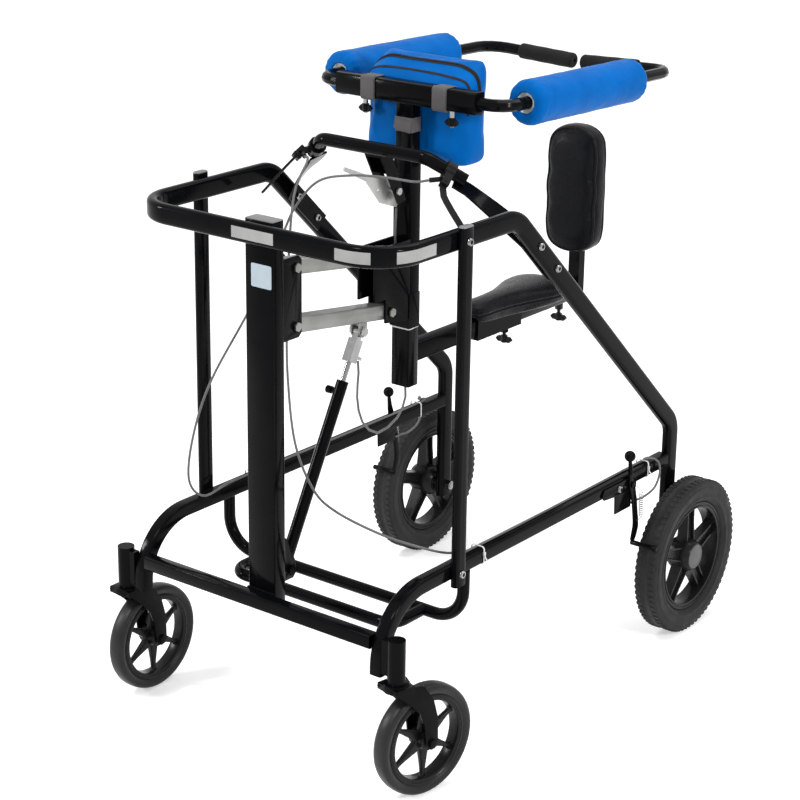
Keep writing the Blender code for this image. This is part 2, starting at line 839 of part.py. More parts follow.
def upper_frame():
    half = side_route()
    corners = half + [flipped(point) for point in reversed(half)]
    radii = (HIP_RADIUS, KNEE_RADIUS, RING_CORNER_RADIUS)
    route = filleted(corners, radii + radii[::-1])
    solid = swept(route, OVAL_THICK, OVAL_TALL, OVAL_CORNER)
    below = Vector((0, 0, -JOINED))
    inner = [route[0] + below] + route[1:-1] + [route[-1] + below]
    bore = swept(inner, OVAL_THICK - 2 * WALL, OVAL_TALL - 2 * WALL, OVAL_CORNER - WALL, steps=1)
    holes = []
    for side in (1, -1):
        axle = Vector((side * SIDE_X, REAR_AXLE_Y, REAR_RADIUS))
        holes.append(rod_along_x(axle, 2 * OVAL_THICK, AXLE_RADIUS + CLEAR))
        for point in stay_bolt_points():
            bolt = Vector((side * point.x, point.y, point.z))
            holes.append(rod_along_x(bolt, 2 * OVAL_THICK, SCREW_RADIUS + CLEAR, sides=8))
    place("upper_frame_tube", combine(solid, cuts=[bore] + holes), black_paint())


def lower_rails():
    route = filleted(
        [
            (RAIL_X, RAIL_REAR_Y, RAIL_Z),
            (RAIL_X, RAIL_FRONT_Y, RAIL_Z),
            (RAIL_X, RAIL_FRONT_Y, RAIL_FOOT_Z),
        ],
        [RAIL_BEND_RADIUS],
    )
    solid = swept(route, BAR_SIZE, BAR_SIZE, BAR_CORNER)
    inner = [route[0] + Vector((0, JOINED, 0))] + route[1:-1] + [route[-1] - Vector((0, 0, JOINED))]
    bore = swept(inner, BAR_SIZE - 2 * WALL, BAR_SIZE - 2 * WALL, BAR_CORNER - WALL, steps=1)
    place_pair("lower_rail", combine(solid, cuts=[bore]), black_paint)


def front_beam():
    reach = RAIL_X - BAR_SIZE / 2 - CLEAR
    ends = [(-reach, RAIL_FRONT_Y, BEAM_Z), (reach, RAIL_FRONT_Y, BEAM_Z)]
    solid = swept([Vector(p) for p in ends], BAR_SIZE, BAR_SIZE, BAR_CORNER)
    past = Vector((JOINED, 0, 0))
    bore = swept([Vector(ends[0]) - past, Vector(ends[1]) + past],
                 BAR_SIZE - 2 * WALL, BAR_SIZE - 2 * WALL, BAR_CORNER - WALL)
    place("front_beam", combine(solid, cuts=[bore]), black_paint())


def front_mast():
    """Flat post behind the beam and the ring, with the two cheeks of the strut foot."""
    bottom = BEAM_Z - BAR_SIZE / 2
    solid = upright_bar(0, MAST_Y, bottom, MAST_TOP_Z, MAST_WIDTH, MAST_DEPTH, MAST_CORNER)
    bore = upright_bar(0, MAST_Y, bottom - JOINED, MAST_TOP_Z - MAST_CAP,
                       MAST_WIDTH - 2 * WALL, MAST_DEPTH - 2 * WALL, MAST_CORNER - WALL / 2)
    solid = combine(solid, cuts=[bore])
    edge = STRUT_FOOT_Y + FOOT_CHEEK_PAST
    under = STRUT_FOOT_Z - FOOT_CHEEK_BELOW
    over = STRUT_FOOT_Z + FOOT_CHEEK_RISE
    outline = [
        (MAST_BACK_Y - JOINED, under),
        (edge - FOOT_CHEEK_CHAMFER, under),
        (edge, under + FOOT_CHEEK_CHAMFER),
        (edge, STRUT_FOOT_Z + FOOT_CHEEK_ABOVE),
        (MAST_BACK_Y + FOOT_CHEEK_TOP, over),
        (MAST_BACK_Y - JOINED, over),
    ]
    inside = STRUT_RADIUS + FOOT_CHEEK_GAP
    cheeks = [plate(outline, LUG_THICK, (side * (inside + LUG_THICK / 2), 0, 0))
              for side in (1, -1)]
    hole = rod_along_x((0, STRUT_FOOT_Y, STRUT_FOOT_Z), MAST_WIDTH,
                       STRUT_PIN_RADIUS + CLEAR)
    place("front_mast", combine(solid, joins=cheeks, cuts=[hole]), black_paint())


def uprights():
    """Flat oval posts outside the frame, with a cap on top and a bolt at each rail."""
    bottom = RAIL_Z - BAR_SIZE / 2 - UPRIGHT_UNDER_RAIL
    top = RING_Z + OVAL_TALL / 2 + UPRIGHT_OVER_RING
    size = (UPRIGHT_THICK, UPRIGHT_WIDE, UPRIGHT_CORNER)
    solid = upright_bar(UPRIGHT_X, UPRIGHT_Y, bottom, top, *size)
    bore = upright_bar(UPRIGHT_X, UPRIGHT_Y, bottom - JOINED, top - WALL,
                       UPRIGHT_THICK - 2 * WALL, UPRIGHT_WIDE - 2 * WALL, UPRIGHT_CORNER - WALL)
    outside = UPRIGHT_X + UPRIGHT_THICK / 2
    heads = []
    for height in (RAIL_Z, RING_Z):
        start = (outside - JOINED, UPRIGHT_Y, height)
        heads.append(rod(start, (outside + BOLT_HEAD, UPRIGHT_Y, height), BOLT_RADIUS, sides=6))
    place_pair("upright", combine(solid, joins=heads, cuts=[bore]), black_paint)


def foot_frame():
    """Cross tube under the rails with a loop in front of it, all hollow."""
    top = RAIL_Z - BAR_SIZE / 2 - CLEAR
    leg_x = RAIL_X + (SIDE_X - RAIL_X) / 2
    cross = filleted(
        [(leg_x, FOOT_Y, top), (leg_x, FOOT_Y, FOOT_Z), (-leg_x, FOOT_Y, FOOT_Z),
         (-leg_x, FOOT_Y, top)],
        [FOOT_BEND_RADIUS] * 2,
        step=math.radians(30),
    )
    front = FOOT_Y - FOOT_LOOP_REACH
    loop = filleted(
        [(FOOT_LOOP_X, FOOT_Y, FOOT_Z), (FOOT_LOOP_X, front, FOOT_Z),
         (-FOOT_LOOP_X, front, FOOT_Z), (-FOOT_LOOP_X, FOOT_Y, FOOT_Z)],
        [FOOT_LOOP_RADIUS] * 2,
        step=math.radians(30),
    )
    past = Vector((0, 0, JOINED))
    inner = [cross[0] + past] + cross[1:-1] + [cross[-1] + past]
    bores = [tube(route, FOOT_RADIUS - WALL, resolution=1) for route in (inner, loop)]
    mesh = combine(tube(cross, FOOT_RADIUS), joins=[tube(loop, FOOT_RADIUS)], cuts=bores)
    place("foot_frame", mesh, black_paint())


# Wheels

def rear_axles():
    inner_end = FRAME_INSIDE_X - CLEAR
    shaft = rod((inner_end - AXLE_NUT, REAR_AXLE_Y, REAR_RADIUS),
                (REAR_BORE_END_X - AXLE_END_GAP, REAR_AXLE_Y, REAR_RADIUS), AXLE_RADIUS)
    nut = rod((inner_end - AXLE_NUT + JOINED, REAR_AXLE_Y, REAR_RADIUS),
              (inner_end, REAR_AXLE_Y, REAR_RADIUS), AXLE_NUT_RADIUS, sides=6)
    collar_start = FRAME_OUTSIDE_X + CLEAR
    collar = rod((collar_start, REAR_AXLE_Y, REAR_RADIUS),
                 (collar_start + AXLE_COLLAR, REAR_AXLE_Y, REAR_RADIUS), AXLE_NUT_RADIUS)
    place_pair("rear_axle", combine(shaft, joins=[nut, collar]), bright_steel)


def ring_profile(outer, inner, width):
    """Closed (radius, height) profile of a ring, down its outer side first."""
    half = width / 2
    return [
        (outer, half),
        (outer, -half),
        (inner, -half),
        (inner, half),
    ]


def tyre_profile(outer, inner, width):
    """Closed profile of a solid tyre with rounded shoulders."""
    half = width / 2
    drop = TYRE_SHOULDER_DROP * half
    round_part = TYRE_SHOULDER * half
    shoulder = []
    for part in range(3):
        angle = math.radians(90 - 45 * part)
        shoulder.append((outer - drop + drop * math.cos(angle),
                         half - round_part + round_part * math.sin(angle)))
    mirrored_side = [(radius, -height) for radius, height in reversed(shoulder)]
    return shoulder + mirrored_side + [(inner, -half), (inner, half)]


def spoke(angle, inner, outer, wide_at, depth_at):
    """Tapered spoke of a wheel about the X axis, its sizes given at both ends."""
    work = bmesh.new()
    length = outer - inner
    bmesh.ops.create_cone(
        work, cap_ends=True, segments=4, radius1=math.sqrt(0.5), radius2=math.sqrt(0.5),
        depth=1.0, matrix=Matrix.Rotation(math.pi / 4, 4, "Z"))
    for vert in work.verts:
        share = vert.co.z + 0.5
        depth = depth_at[0] + (depth_at[1] - depth_at[0]) * share
        wide = wide_at[0] + (wide_at[1] - wide_at[0]) * share
        vert.co = Vector((vert.co.x * depth, vert.co.y * wide, inner + length * share))
    bmesh.ops.transform(work, matrix=Matrix.Rotation(angle, 4, "X"), verts=work.verts)
    mesh = bpy.data.meshes.new("spoke")
    work.to_mesh(mesh)
    work.free()
    return mesh


def spokes_of(count, centre, *sizes):
    result = []
    for number in range(count):
        mesh = spoke(2 * math.pi * number / count, *sizes)
        mesh.transform(Matrix.Translation(centre))
        result.append(mesh)
    return result


def rear_wheels():
    centre = Vector((REAR_WHEEL_X, REAR_AXLE_Y, REAR_RADIUS))
    hub_middle = HUB_INSIDE_X + REAR_HUB_WIDTH / 2
    hub_centre = Vector((hub_middle, REAR_AXLE_Y, REAR_RADIUS))
    rim_width = REAR_WIDTH - REAR_RIM_NARROWER
    rim = turned(ring_profile(REAR_TYRE_BORE - CLEAR, REAR_RIM_BORE, rim_width),
                 centre, (1, 0, 0), steps=REAR_STEPS)
    hub = rod_along_x(hub_centre, REAR_HUB_WIDTH, REAR_HUB_RADIUS, sides=15)
    cap_out = hub_middle + REAR_HUB_WIDTH / 2 + REAR_CAP_PROUD
    cap = rod((hub_middle, REAR_AXLE_Y, REAR_RADIUS), (cap_out, REAR_AXLE_Y, REAR_RADIUS),
              REAR_CAP_RADIUS)
    bore = rod((HUB_INSIDE_X - JOINED, REAR_AXLE_Y, REAR_RADIUS),
               (REAR_BORE_END_X, REAR_AXLE_Y, REAR_RADIUS), AXLE_RADIUS + CLEAR)
    spokes = spokes_of(REAR_SPOKES, centre, REAR_HUB_RADIUS - REAR_SPOKE_SUNK,
                       REAR_RIM_BORE + REAR_SPOKE_SUNK, REAR_SPOKE_WIDE, REAR_SPOKE_DEPTH)
    wheel = combine(rim, joins=[hub, cap] + spokes, cuts=[bore])
    tyre = turned(tyre_profile(REAR_RADIUS, REAR_TYRE_BORE, REAR_WIDTH), centre, (1, 0, 0),
                  steps=REAR_STEPS)
    for name, side in SIDES:
        carrier = joint(f"rear_wheel_{name}_axle", flipped(centre) if side < 0 else centre)
        place_side("rear_wheel", name, side, wheel, rim_plastic(), carrier)
        place_side("rear_tyre", name, side, tyre, wheel_rubber(), carrier)


def caster_sleeves():
    radius = STEM_RADIUS + CLEAR + SLEEVE_WALL
    solid = rod((STEM_X, CASTER_STEM_Y, SLEEVE_BOTTOM_Z), (STEM_X, CASTER_STEM_Y, SLEEVE_TOP_Z),
                radius, sides=16)
    web_start = FRAME_OUTSIDE_X + CLEAR
    web_end = STEM_X - STEM_RADIUS - SLEEVE_WALL / 2
    middle = (SLEEVE_BOTTOM_Z + SLEEVE_TOP_Z) / 2
    web = box((web_end - web_start, SLEEVE_WEB,
               SLEEVE_TOP_Z - SLEEVE_BOTTOM_Z - SLEEVE_WEB_SHORT),
              ((web_start + web_end) / 2, CASTER_STEM_Y, middle))
    bore = rod((STEM_X, CASTER_STEM_Y, SLEEVE_BOTTOM_Z - JOINED),
               (STEM_X, CASTER_STEM_Y, SLEEVE_TOP_Z - SLEEVE_CAP), STEM_RADIUS + CLEAR,
               sides=16)
    place_pair("caster_sleeve", combine(solid, joins=[web], cuts=[bore]), black_paint)


def fork_outline():
    """Side view of a fork leg: a tapering band that swings back from crown to axle."""
    top = Vector((0.0, FORK_TOP_Z - FORK_CROWN / 2))
    knee = Vector((FORK_SWEEP, top.y - FORK_SWEEP_DROP))
    eye = Vector((CASTER_TRAIL, CASTER_RADIUS))
    front = [top + Vector((FORK_TOP_HALF, 0))]
    back = [top - Vector((FORK_TOP_HALF, 0))]
    for number in range(1, FORK_STATIONS + 1):
        t = number / FORK_STATIONS
        point = top * (1 - t) ** 2 + knee * 2 * t * (1 - t) + eye * t ** 2
        along_it = ((knee - top) * (1 - t) + (eye - knee) * t).normalized()
        across = Vector((-along_it.y, along_it.x))
        half = FORK_TOP_HALF + (FORK_EYE_RADIUS - FORK_TOP_HALF) * t
        front.append(point + across * half)
        back.append(point - across * half)
    arc = []
    for number in range(1, 4):
        angle = -math.pi * number / 4
        arc.append(eye - FORK_EYE_RADIUS * Vector((math.cos(angle), -math.sin(angle))))
    return back + arc + list(reversed(front))


def casters():
    """Forks that swivel in the sleeves, each with its wheel and tyre on the axle."""
    stem_top = SLEEVE_TOP_Z - SLEEVE_CAP - CLEAR
    half_gap = CASTER_HUB_WIDTH / 2 + FORK_GAP
    outer = half_gap + FORK_PLATE
    stem_at = Vector((STEM_X, CASTER_STEM_Y, 0))
    axle_at = Vector((STEM_X, CASTER_STEM_Y + CASTER_TRAIL, CASTER_RADIUS))
    crown = rod(stem_at + Vector((0, 0, FORK_TOP_Z - FORK_CROWN)),
                stem_at + Vector((0, 0, FORK_TOP_Z)), FORK_TOP_HALF)
    bridge = box((2 * outer, FORK_BRIDGE_DEPTH, FORK_BRIDGE_TALL),
                 stem_at + Vector((0, 0, FORK_TOP_Z - FORK_BRIDGE_DROP)))
    stem = rod(stem_at + Vector((0, 0, FORK_TOP_Z - FORK_CROWN / 2)),
               stem_at + Vector((0, 0, stem_top)), STEM_RADIUS, sides=16)
    race = rod(stem_at + Vector((0, 0, FORK_TOP_Z - JOINED)),
               stem_at + Vector((0, 0, SLEEVE_BOTTOM_Z - CLEAR)), STEM_RADIUS + RACE_WALL)
    legs = [plate(fork_outline(), FORK_PLATE,
                  stem_at + Vector((side * (half_gap + FORK_PLATE / 2), 0, 0)))
            for side in (1, -1)]
    axle = rod_along_x(axle_at, 2 * outer + CASTER_NUT, CASTER_AXLE_RADIUS)
    nuts = [rod(axle_at + Vector((side * (outer - JOINED), 0, 0)),
                axle_at + Vector((side * (outer + CASTER_NUT), 0, 0)), CASTER_NUT_RADIUS, sides=6)
            for side in (1, -1)]
    fork = combine(crown, joins=[bridge, stem, race] + legs + [axle] + nuts)

    rim_width = CASTER_WIDTH - CASTER_RIM_NARROWER
    rim = turned(ring_profile(CASTER_TYRE_BORE - CLEAR, CASTER_RIM_BORE, rim_width),
                 axle_at, (1, 0, 0), steps=CASTER_STEPS)
    hub = rod_along_x(axle_at, CASTER_HUB_WIDTH, CASTER_HUB_RADIUS)
    spokes = spokes_of(CASTER_SPOKES, axle_at, CASTER_HUB_RADIUS - CASTER_SPOKE_SUNK,
                       CASTER_RIM_BORE + CASTER_SPOKE_SUNK, CASTER_SPOKE_WIDE,
                       CASTER_SPOKE_DEPTH)
    bore = rod_along_x(axle_at, 2 * CASTER_HUB_WIDTH, CASTER_AXLE_RADIUS + CLEAR)
    wheel = combine(rim, joins=[hub] + spokes, cuts=[bore])
    tyre = turned(tyre_profile(CASTER_RADIUS, CASTER_TYRE_BORE, CASTER_WIDTH), axle_at,
                  (1, 0, 0), steps=CASTER_STEPS)
    swivels = {"left": CASTER_SWIVEL_LEFT, "right": CASTER_SWIVEL_RIGHT}
    for name, side in SIDES:
        swivel = joint(f"caster_swivel_{name}", (side * stem_at.x, stem_at.y, FORK_TOP_Z))
        swivel.rotation_euler = (0, 0, side * swivels[name])
        axle_joint = joint(f"caster_axle_{name}", (side * axle_at.x, axle_at.y, axle_at.z), swivel)
        place_side("caster_fork", name, side, fork, black_paint(), swivel)
        place_side("caster_wheel", name, side, wheel, rim_plastic(), axle_joint)
        place_side("caster_tyre", name, side, tyre, wheel_rubber(), axle_joint)


# Lift

def lift_bracket():
    """Channel on the back of the mast that holds the front pivots of both arms."""
    front = MAST_BACK_Y + CLEAR
    bottom = LOWER_PIVOT_Z - CHEEK_OVER_PIVOT
    top = UPPER_PIVOT_Z + CHEEK_OVER_PIVOT
    edge = FRONT_PIVOT_Y + ARM_TALL / 2
    outline = [
        (front, bottom), (edge - CHEEK_CHAMFER, bottom), (edge, bottom + CHEEK_CHAMFER),
        (edge, top - CHEEK_CHAMFER), (edge - CHEEK_CHAMFER, top), (front, top),
    ]
    cheeks = [plate(outline, CHEEK, (side * (CHEEK_INSIDE + CHEEK / 2), 0, 0))
              for side in (1, -1)]
    base = box((2 * CHEEK_INSIDE + CHEEK, CHEEK, top - bottom),
               (0, front + CHEEK / 2, (top + bottom) / 2))
    holes = [rod_along_x((0, FRONT_PIVOT_Y, height), 2 * PIN_REACH, PIN_RADIUS + CLEAR)
             for height in (LOWER_PIVOT_Z, UPPER_PIVOT_Z)]
    place("lift_bracket", combine(base, joins=cheeks, cuts=holes), black_paint())


def arm_mesh(front_z, fittings=()):
    """Solid bar between two pivots, with a headed pin through each end."""
    front = Vector((0, FRONT_PIVOT_Y, front_z))
    rear = Vector((0, REAR_PIVOT_Y, front_z - ARM_DROP))
    ahead = (rear - front).normalized()
    bar = swept([front - ahead * ARM_END, rear + ahead * ARM_END], ARM_WIDTH, ARM_TALL,
                ARM_CORNER, steps=1)
    pins = []
    for pivot in (front, rear):
        pins.append(rod_along_x(pivot, 2 * (PIN_REACH - JOINED), PIN_RADIUS))
        for side in (1, -1):
            inner = pivot + Vector((side * (PIN_REACH - PIN_HEAD), 0, 0))
            outer = pivot + Vector((side * PIN_REACH, 0, 0))
            pins.append(rod(inner, outer, PIN_HEAD_RADIUS, sides=6))
    return combine(bar, joins=list(fittings) + pins)


def strut_lugs():
    """Two ears under the lower arm, with the hole for the strut's pin."""
    arm_under = STRUT_HEAD_Z + STRUT_HEAD_BELOW - ARM_TALL / 2 / math.cos(ARM_TILT)
    root = arm_under + LUG_ROOT
    outline = [(STRUT_HEAD_Y + LUG_HALF, root), (STRUT_HEAD_Y - LUG_HALF, root)]
    for number in range(LUG_STEPS + 1):
        angle = math.pi + math.pi * number / LUG_STEPS
        outline.append((STRUT_HEAD_Y + LUG_HALF * math.cos(angle),
                        STRUT_HEAD_Z + LUG_HALF * math.sin(angle)))
    hole_radius = STRUT_PIN_RADIUS + STRUT_PIN_PLAY
    lugs = []
    for side in (1, -1):
        lug = plate(outline, LUG_THICK, (side * (LUG_INSIDE + LUG_THICK / 2), 0, 0))
        hole = rod_along_x((0, STRUT_HEAD_Y, STRUT_HEAD_Z), ARM_WIDTH, hole_radius)
        lugs.append(combine(lug, cuts=[hole]))
    return lugs


def lift_arms():
    lower = joint("lift_hinge", (0, FRONT_PIVOT_Y, LOWER_PIVOT_Z))
    upper = joint("upper_arm_hinge", (0, FRONT_PIVOT_Y, UPPER_PIVOT_Z))
    place("lift_arm_upper", arm_mesh(UPPER_PIVOT_Z), silver_arm(), upper)
    place("lift_arm_lower", arm_mesh(LOWER_PIVOT_Z, strut_lugs()), silver_arm(), lower)
    return lower


def column_joint(lower):
    rear_z = LOWER_PIVOT_Z - ARM_DROP
    return joint("column_hinge", (0, REAR_PIVOT_Y, rear_z), lower)


def lift_column(carrier):
    """Hollow column with the cheeks that take the rear pivots of the arms."""
    solid = upright_bar(0, COLUMN_Y, COLUMN_BOTTOM_Z, COLUMN_TOP_Z, COLUMN_WIDTH,
                        COLUMN_DEPTH, COLUMN_CORNER)
    bore = upright_bar(0, COLUMN_Y, COLUMN_BOTTOM_Z - JOINED, COLUMN_TOP_Z + JOINED,
                       COLUMN_WIDTH - 2 * WALL, COLUMN_DEPTH - 2 * WALL, COLUMN_CORNER - WALL / 2)
    lower_z = LOWER_PIVOT_Z - ARM_DROP
    upper_z = UPPER_PIVOT_Z - ARM_DROP
    step_y = REAR_PIVOT_Y - COLUMN_CHEEK_STEP
    nose_y = REAR_PIVOT_Y - COLUMN_CHEEK_NOSE
    outline = [
        (COLUMN_FRONT_Y + JOINED, lower_z - COLUMN_CHEEK_FOOT),
        (step_y, lower_z - COLUMN_CHEEK_FOOT + COLUMN_CHEEK_SLOPE),
        (step_y, lower_z + COLUMN_CHEEK_FOOT),
        (nose_y, lower_z + COLUMN_CHEEK_FOOT),
        (nose_y, upper_z + COLUMN_CHEEK_TOP),
        (nose_y + COLUMN_CHEEK_CHAMFER, upper_z + CHEEK_OVER_PIVOT),
        (COLUMN_FRONT_Y + JOINED, upper_z + CHEEK_OVER_PIVOT),
    ]
    cheeks = [plate(outline, CHEEK, (side * (CHEEK_INSIDE + CHEEK / 2), 0, 0))
              for side in (1, -1)]
    sleeve_bottom = lower_z - COLUMN_SLEEVE_BELOW
    sleeve = box((COLUMN_WIDTH + 2 * COLUMN_SLEEVE_WALL, COLUMN_DEPTH, COLUMN_SLEEVE_TALL),
                 (0, COLUMN_Y - COLUMN_SLEEVE_WALL, sleeve_bottom + COLUMN_SLEEVE_TALL / 2))
    face = COLUMN_FRONT_Y - COLUMN_SLEEVE_WALL
    bolt_z = lower_z - COLUMN_BOLT_BELOW
    bolt = rod((0, face + JOINED, bolt_z), (0, face - BOLT_HEAD, bolt_z), BOLT_RADIUS)
    holes = [rod_along_x((0, REAR_PIVOT_Y, height), 2 * PIN_REACH, PIN_RADIUS + CLEAR)
             for height in (lower_z, upper_z)]
    cable_hole = rod((0, COLUMN_FRONT_Y - JOINED, CABLE_HOLE_Z),
                     (0, COLUMN_Y, CABLE_HOLE_Z), CABLE_HOLE_RADIUS)
    mesh = combine(solid, joins=cheeks + [sleeve, bolt], cuts=[bore, cable_hole] + holes)
    place("lift_column", mesh, black_paint(), carrier)


def seat_arm(carrier):
    ends = [Vector((0, SEAT_ARM_FRONT_Y, SEAT_ARM_Z)), Vector((0, SEAT_ARM_END_Y, SEAT_ARM_Z))]
    solid = swept(ends, SEAT_ARM_WIDTH, SEAT_ARM_TALL, BAR_CORNER)
    past = Vector((0, JOINED, 0))
    bore = swept([ends[0] - past, ends[1] + past], SEAT_ARM_WIDTH - 2 * WALL,
                 SEAT_ARM_TALL - 2 * WALL, BAR_CORNER - WALL)
    hole = rod((0, BACK_KNOB_Y, SEAT_ARM_UNDER_Z - JOINED), (0, BACK_KNOB_Y, SEAT_ARM_Z),
               SCREW_RADIUS + CLEAR)
    place("seat_arm", combine(solid, cuts=[bore, hole]), black_paint(), carrier)


def strut_line():
    """Foot, head pivot and direction of the gas strut."""
    foot = Vector((0, STRUT_FOOT_Y, STRUT_FOOT_Z))
    head = Vector((0, STRUT_HEAD_Y, STRUT_HEAD_Z))
    return foot, head, (head - foot).normalized()


def gas_strut():
    foot, head, ahead = strut_line()
    across = Vector((0, ahead.z, -ahead.y))
    block_end = head - ahead * STRUT_HEAD_GAP
    block_start = block_end - ahead * STRUT_HEAD_LENGTH
    barrel_start = foot + ahead * (STRUT_EYE_RADIUS + STRUT_EYE_GAP)
    barrel_end = block_start - ahead * STRUT_ROD_SHOWN
    barrel = rod(barrel_start, barrel_end, STRUT_RADIUS)
    neck = rod(foot, barrel_start + ahead * JOINED, STRUT_NECK_RADIUS)
    eye = rod_along_x(foot, 2 * STRUT_RADIUS, STRUT_EYE_RADIUS)
    pin_half = STRUT_RADIUS + FOOT_CHEEK_GAP + LUG_THICK + CLEAR + PIN_HEAD
    pins = [rod_along_x(foot, 2 * pin_half - 2 * JOINED, STRUT_PIN_RADIUS)]
    for side in (1, -1):
        pins.append(rod(foot + Vector((side * (pin_half - PIN_HEAD), 0, 0)),
                        foot + Vector((side * pin_half, 0, 0)), STRUT_EYE_RADIUS))
    knob_at = barrel_end - ahead * STRUT_VALVE_DROP
    valve = rod(knob_at, knob_at - Vector((STRUT_RADIUS + STRUT_VALVE_REACH, 0, 0)),
                STRUT_VALVE_RADIUS)
    knob = rod(knob_at - Vector((STRUT_RADIUS + VALVE_KNOB_START, 0, 0)),
               knob_at - Vector((STRUT_RADIUS + VALVE_KNOB_END, 0, 0)), VALVE_KNOB_RADIUS)
    bore = rod(barrel_end - ahead * STRUT_BORE_LENGTH, barrel_end + ahead * JOINED,
               STRUT_ROD_RADIUS + CLEAR)
    cylinder = combine(barrel, joins=[neck, eye, valve, knob] + pins, cuts=[bore])
    swing = joint("strut_foot", foot)
    place("gas_strut_cylinder", cylinder, black_paint(), swing)

    rod_start = barrel_end - ahead * STRUT_ROD_INSERT
    shaft = rod(rod_start, block_start + ahead * JOINED, STRUT_ROD_RADIUS)
    turn = along(block_start, block_end)
    block = box((STRUT_HEAD_WIDTH, STRUT_HEAD_SIZE, STRUT_HEAD_LENGTH), turn.translation,
                turn.to_3x3().to_4x4())
    tongue_at = block_start + ahead * TONGUE_UP + across * TONGUE_OUT
    tongue = box((TONGUE_WIDTH, STRUT_HEAD_SIZE, TONGUE_THICK), tongue_at,
                 turn.to_3x3().to_4x4())
    eye_half = LUG_INSIDE - SIDE_GAP
    web = box((2 * eye_half, STRUT_WEB, STRUT_HEAD_GAP + 2 * JOINED),
              head - ahead * (STRUT_HEAD_GAP / 2), turn.to_3x3().to_4x4())
    head_eye = rod_along_x(head, 2 * eye_half, STRUT_EYE_RADIUS)
    pin_half = LUG_INSIDE + LUG_THICK + SIDE_GAP + PIN_HEAD
    pins = [rod_along_x(head, 2 * pin_half - 2 * JOINED, STRUT_PIN_RADIUS)]
    for side in (1, -1):
        pins.append(rod(head + Vector((side * (pin_half - PIN_HEAD), 0, 0)),
                        head + Vector((side * pin_half, 0, 0)), PIN_HEAD_RADIUS, sides=6))
    slide = joint("strut_slide", barrel_end, swing)
    mesh = combine(block, joins=[shaft, tongue, web, head_eye] + pins)
    place("gas_strut_rod", mesh, bright_steel(), slide)
    return tongue_at


# Chest support

def chest_joint(column):
    return joint("chest_post_slide", (0, COLUMN_Y, COLUMN_TOP_Z), column)


def chest_post(carrier):
    """Post that slides in the column, with the crossbar on top."""
    inner = (COLUMN_WIDTH - 2 * WALL - 2 * CLEAR, COLUMN_DEPTH - 2 * WALL - 2 * CLEAR)
    under = CROSSBAR_Z - CROSSBAR_TALL / 2
    post = upright_bar(0, COLUMN_Y, COLUMN_TOP_Z - POST_INSERT, under + JOINED, *inner,
                       COLUMN_CORNER - WALL / 2)
    bar = swept([Vector((-CROSSBAR_HALF, COLUMN_Y, CROSSBAR_Z)),
                 Vector((CROSSBAR_HALF, COLUMN_Y, CROSSBAR_Z))],
                CROSSBAR_DEPTH, CROSSBAR_TALL, BAR_CORNER)
    cuts = []
    depth = ARM_BAR_INSERT + ARM_BAR_SOCKET_SPARE
    for side in (1, -1):
        cuts.append(rod((side * (CROSSBAR_HALF - depth), COLUMN_Y, CROSSBAR_Z),
                        (side * (CROSSBAR_HALF + JOINED), COLUMN_Y, CROSSBAR_Z),
                        BAR_RADIUS + CLEAR, sides=20))
        cuts.append(rod((side * ARM_KNOB_X, COLUMN_Y, under - JOINED),
                        (side * ARM_KNOB_X, COLUMN_Y, CROSSBAR_Z), SCREW_RADIUS + CLEAR))
    place("chest_post", combine(bar, joins=[post], cuts=cuts), black_paint(), carrier)


def arm_bar_corners():
    front = Vector((ARM_BAR_X, COLUMN_Y, CROSSBAR_Z))
    rear = Vector((ARM_BAR_REAR_X, ARM_BAR_REAR_Y, ARM_BAR_REAR_Z))
    tip = Vector((GRIP_TIP_X + GRIP_END_WALL + CLEAR, ARM_BAR_REAR_Y, ARM_BAR_TIP_Z))
    start = Vector((CROSSBAR_HALF - ARM_BAR_INSERT, COLUMN_Y, CROSSBAR_Z))
    return start, front, rear, tip


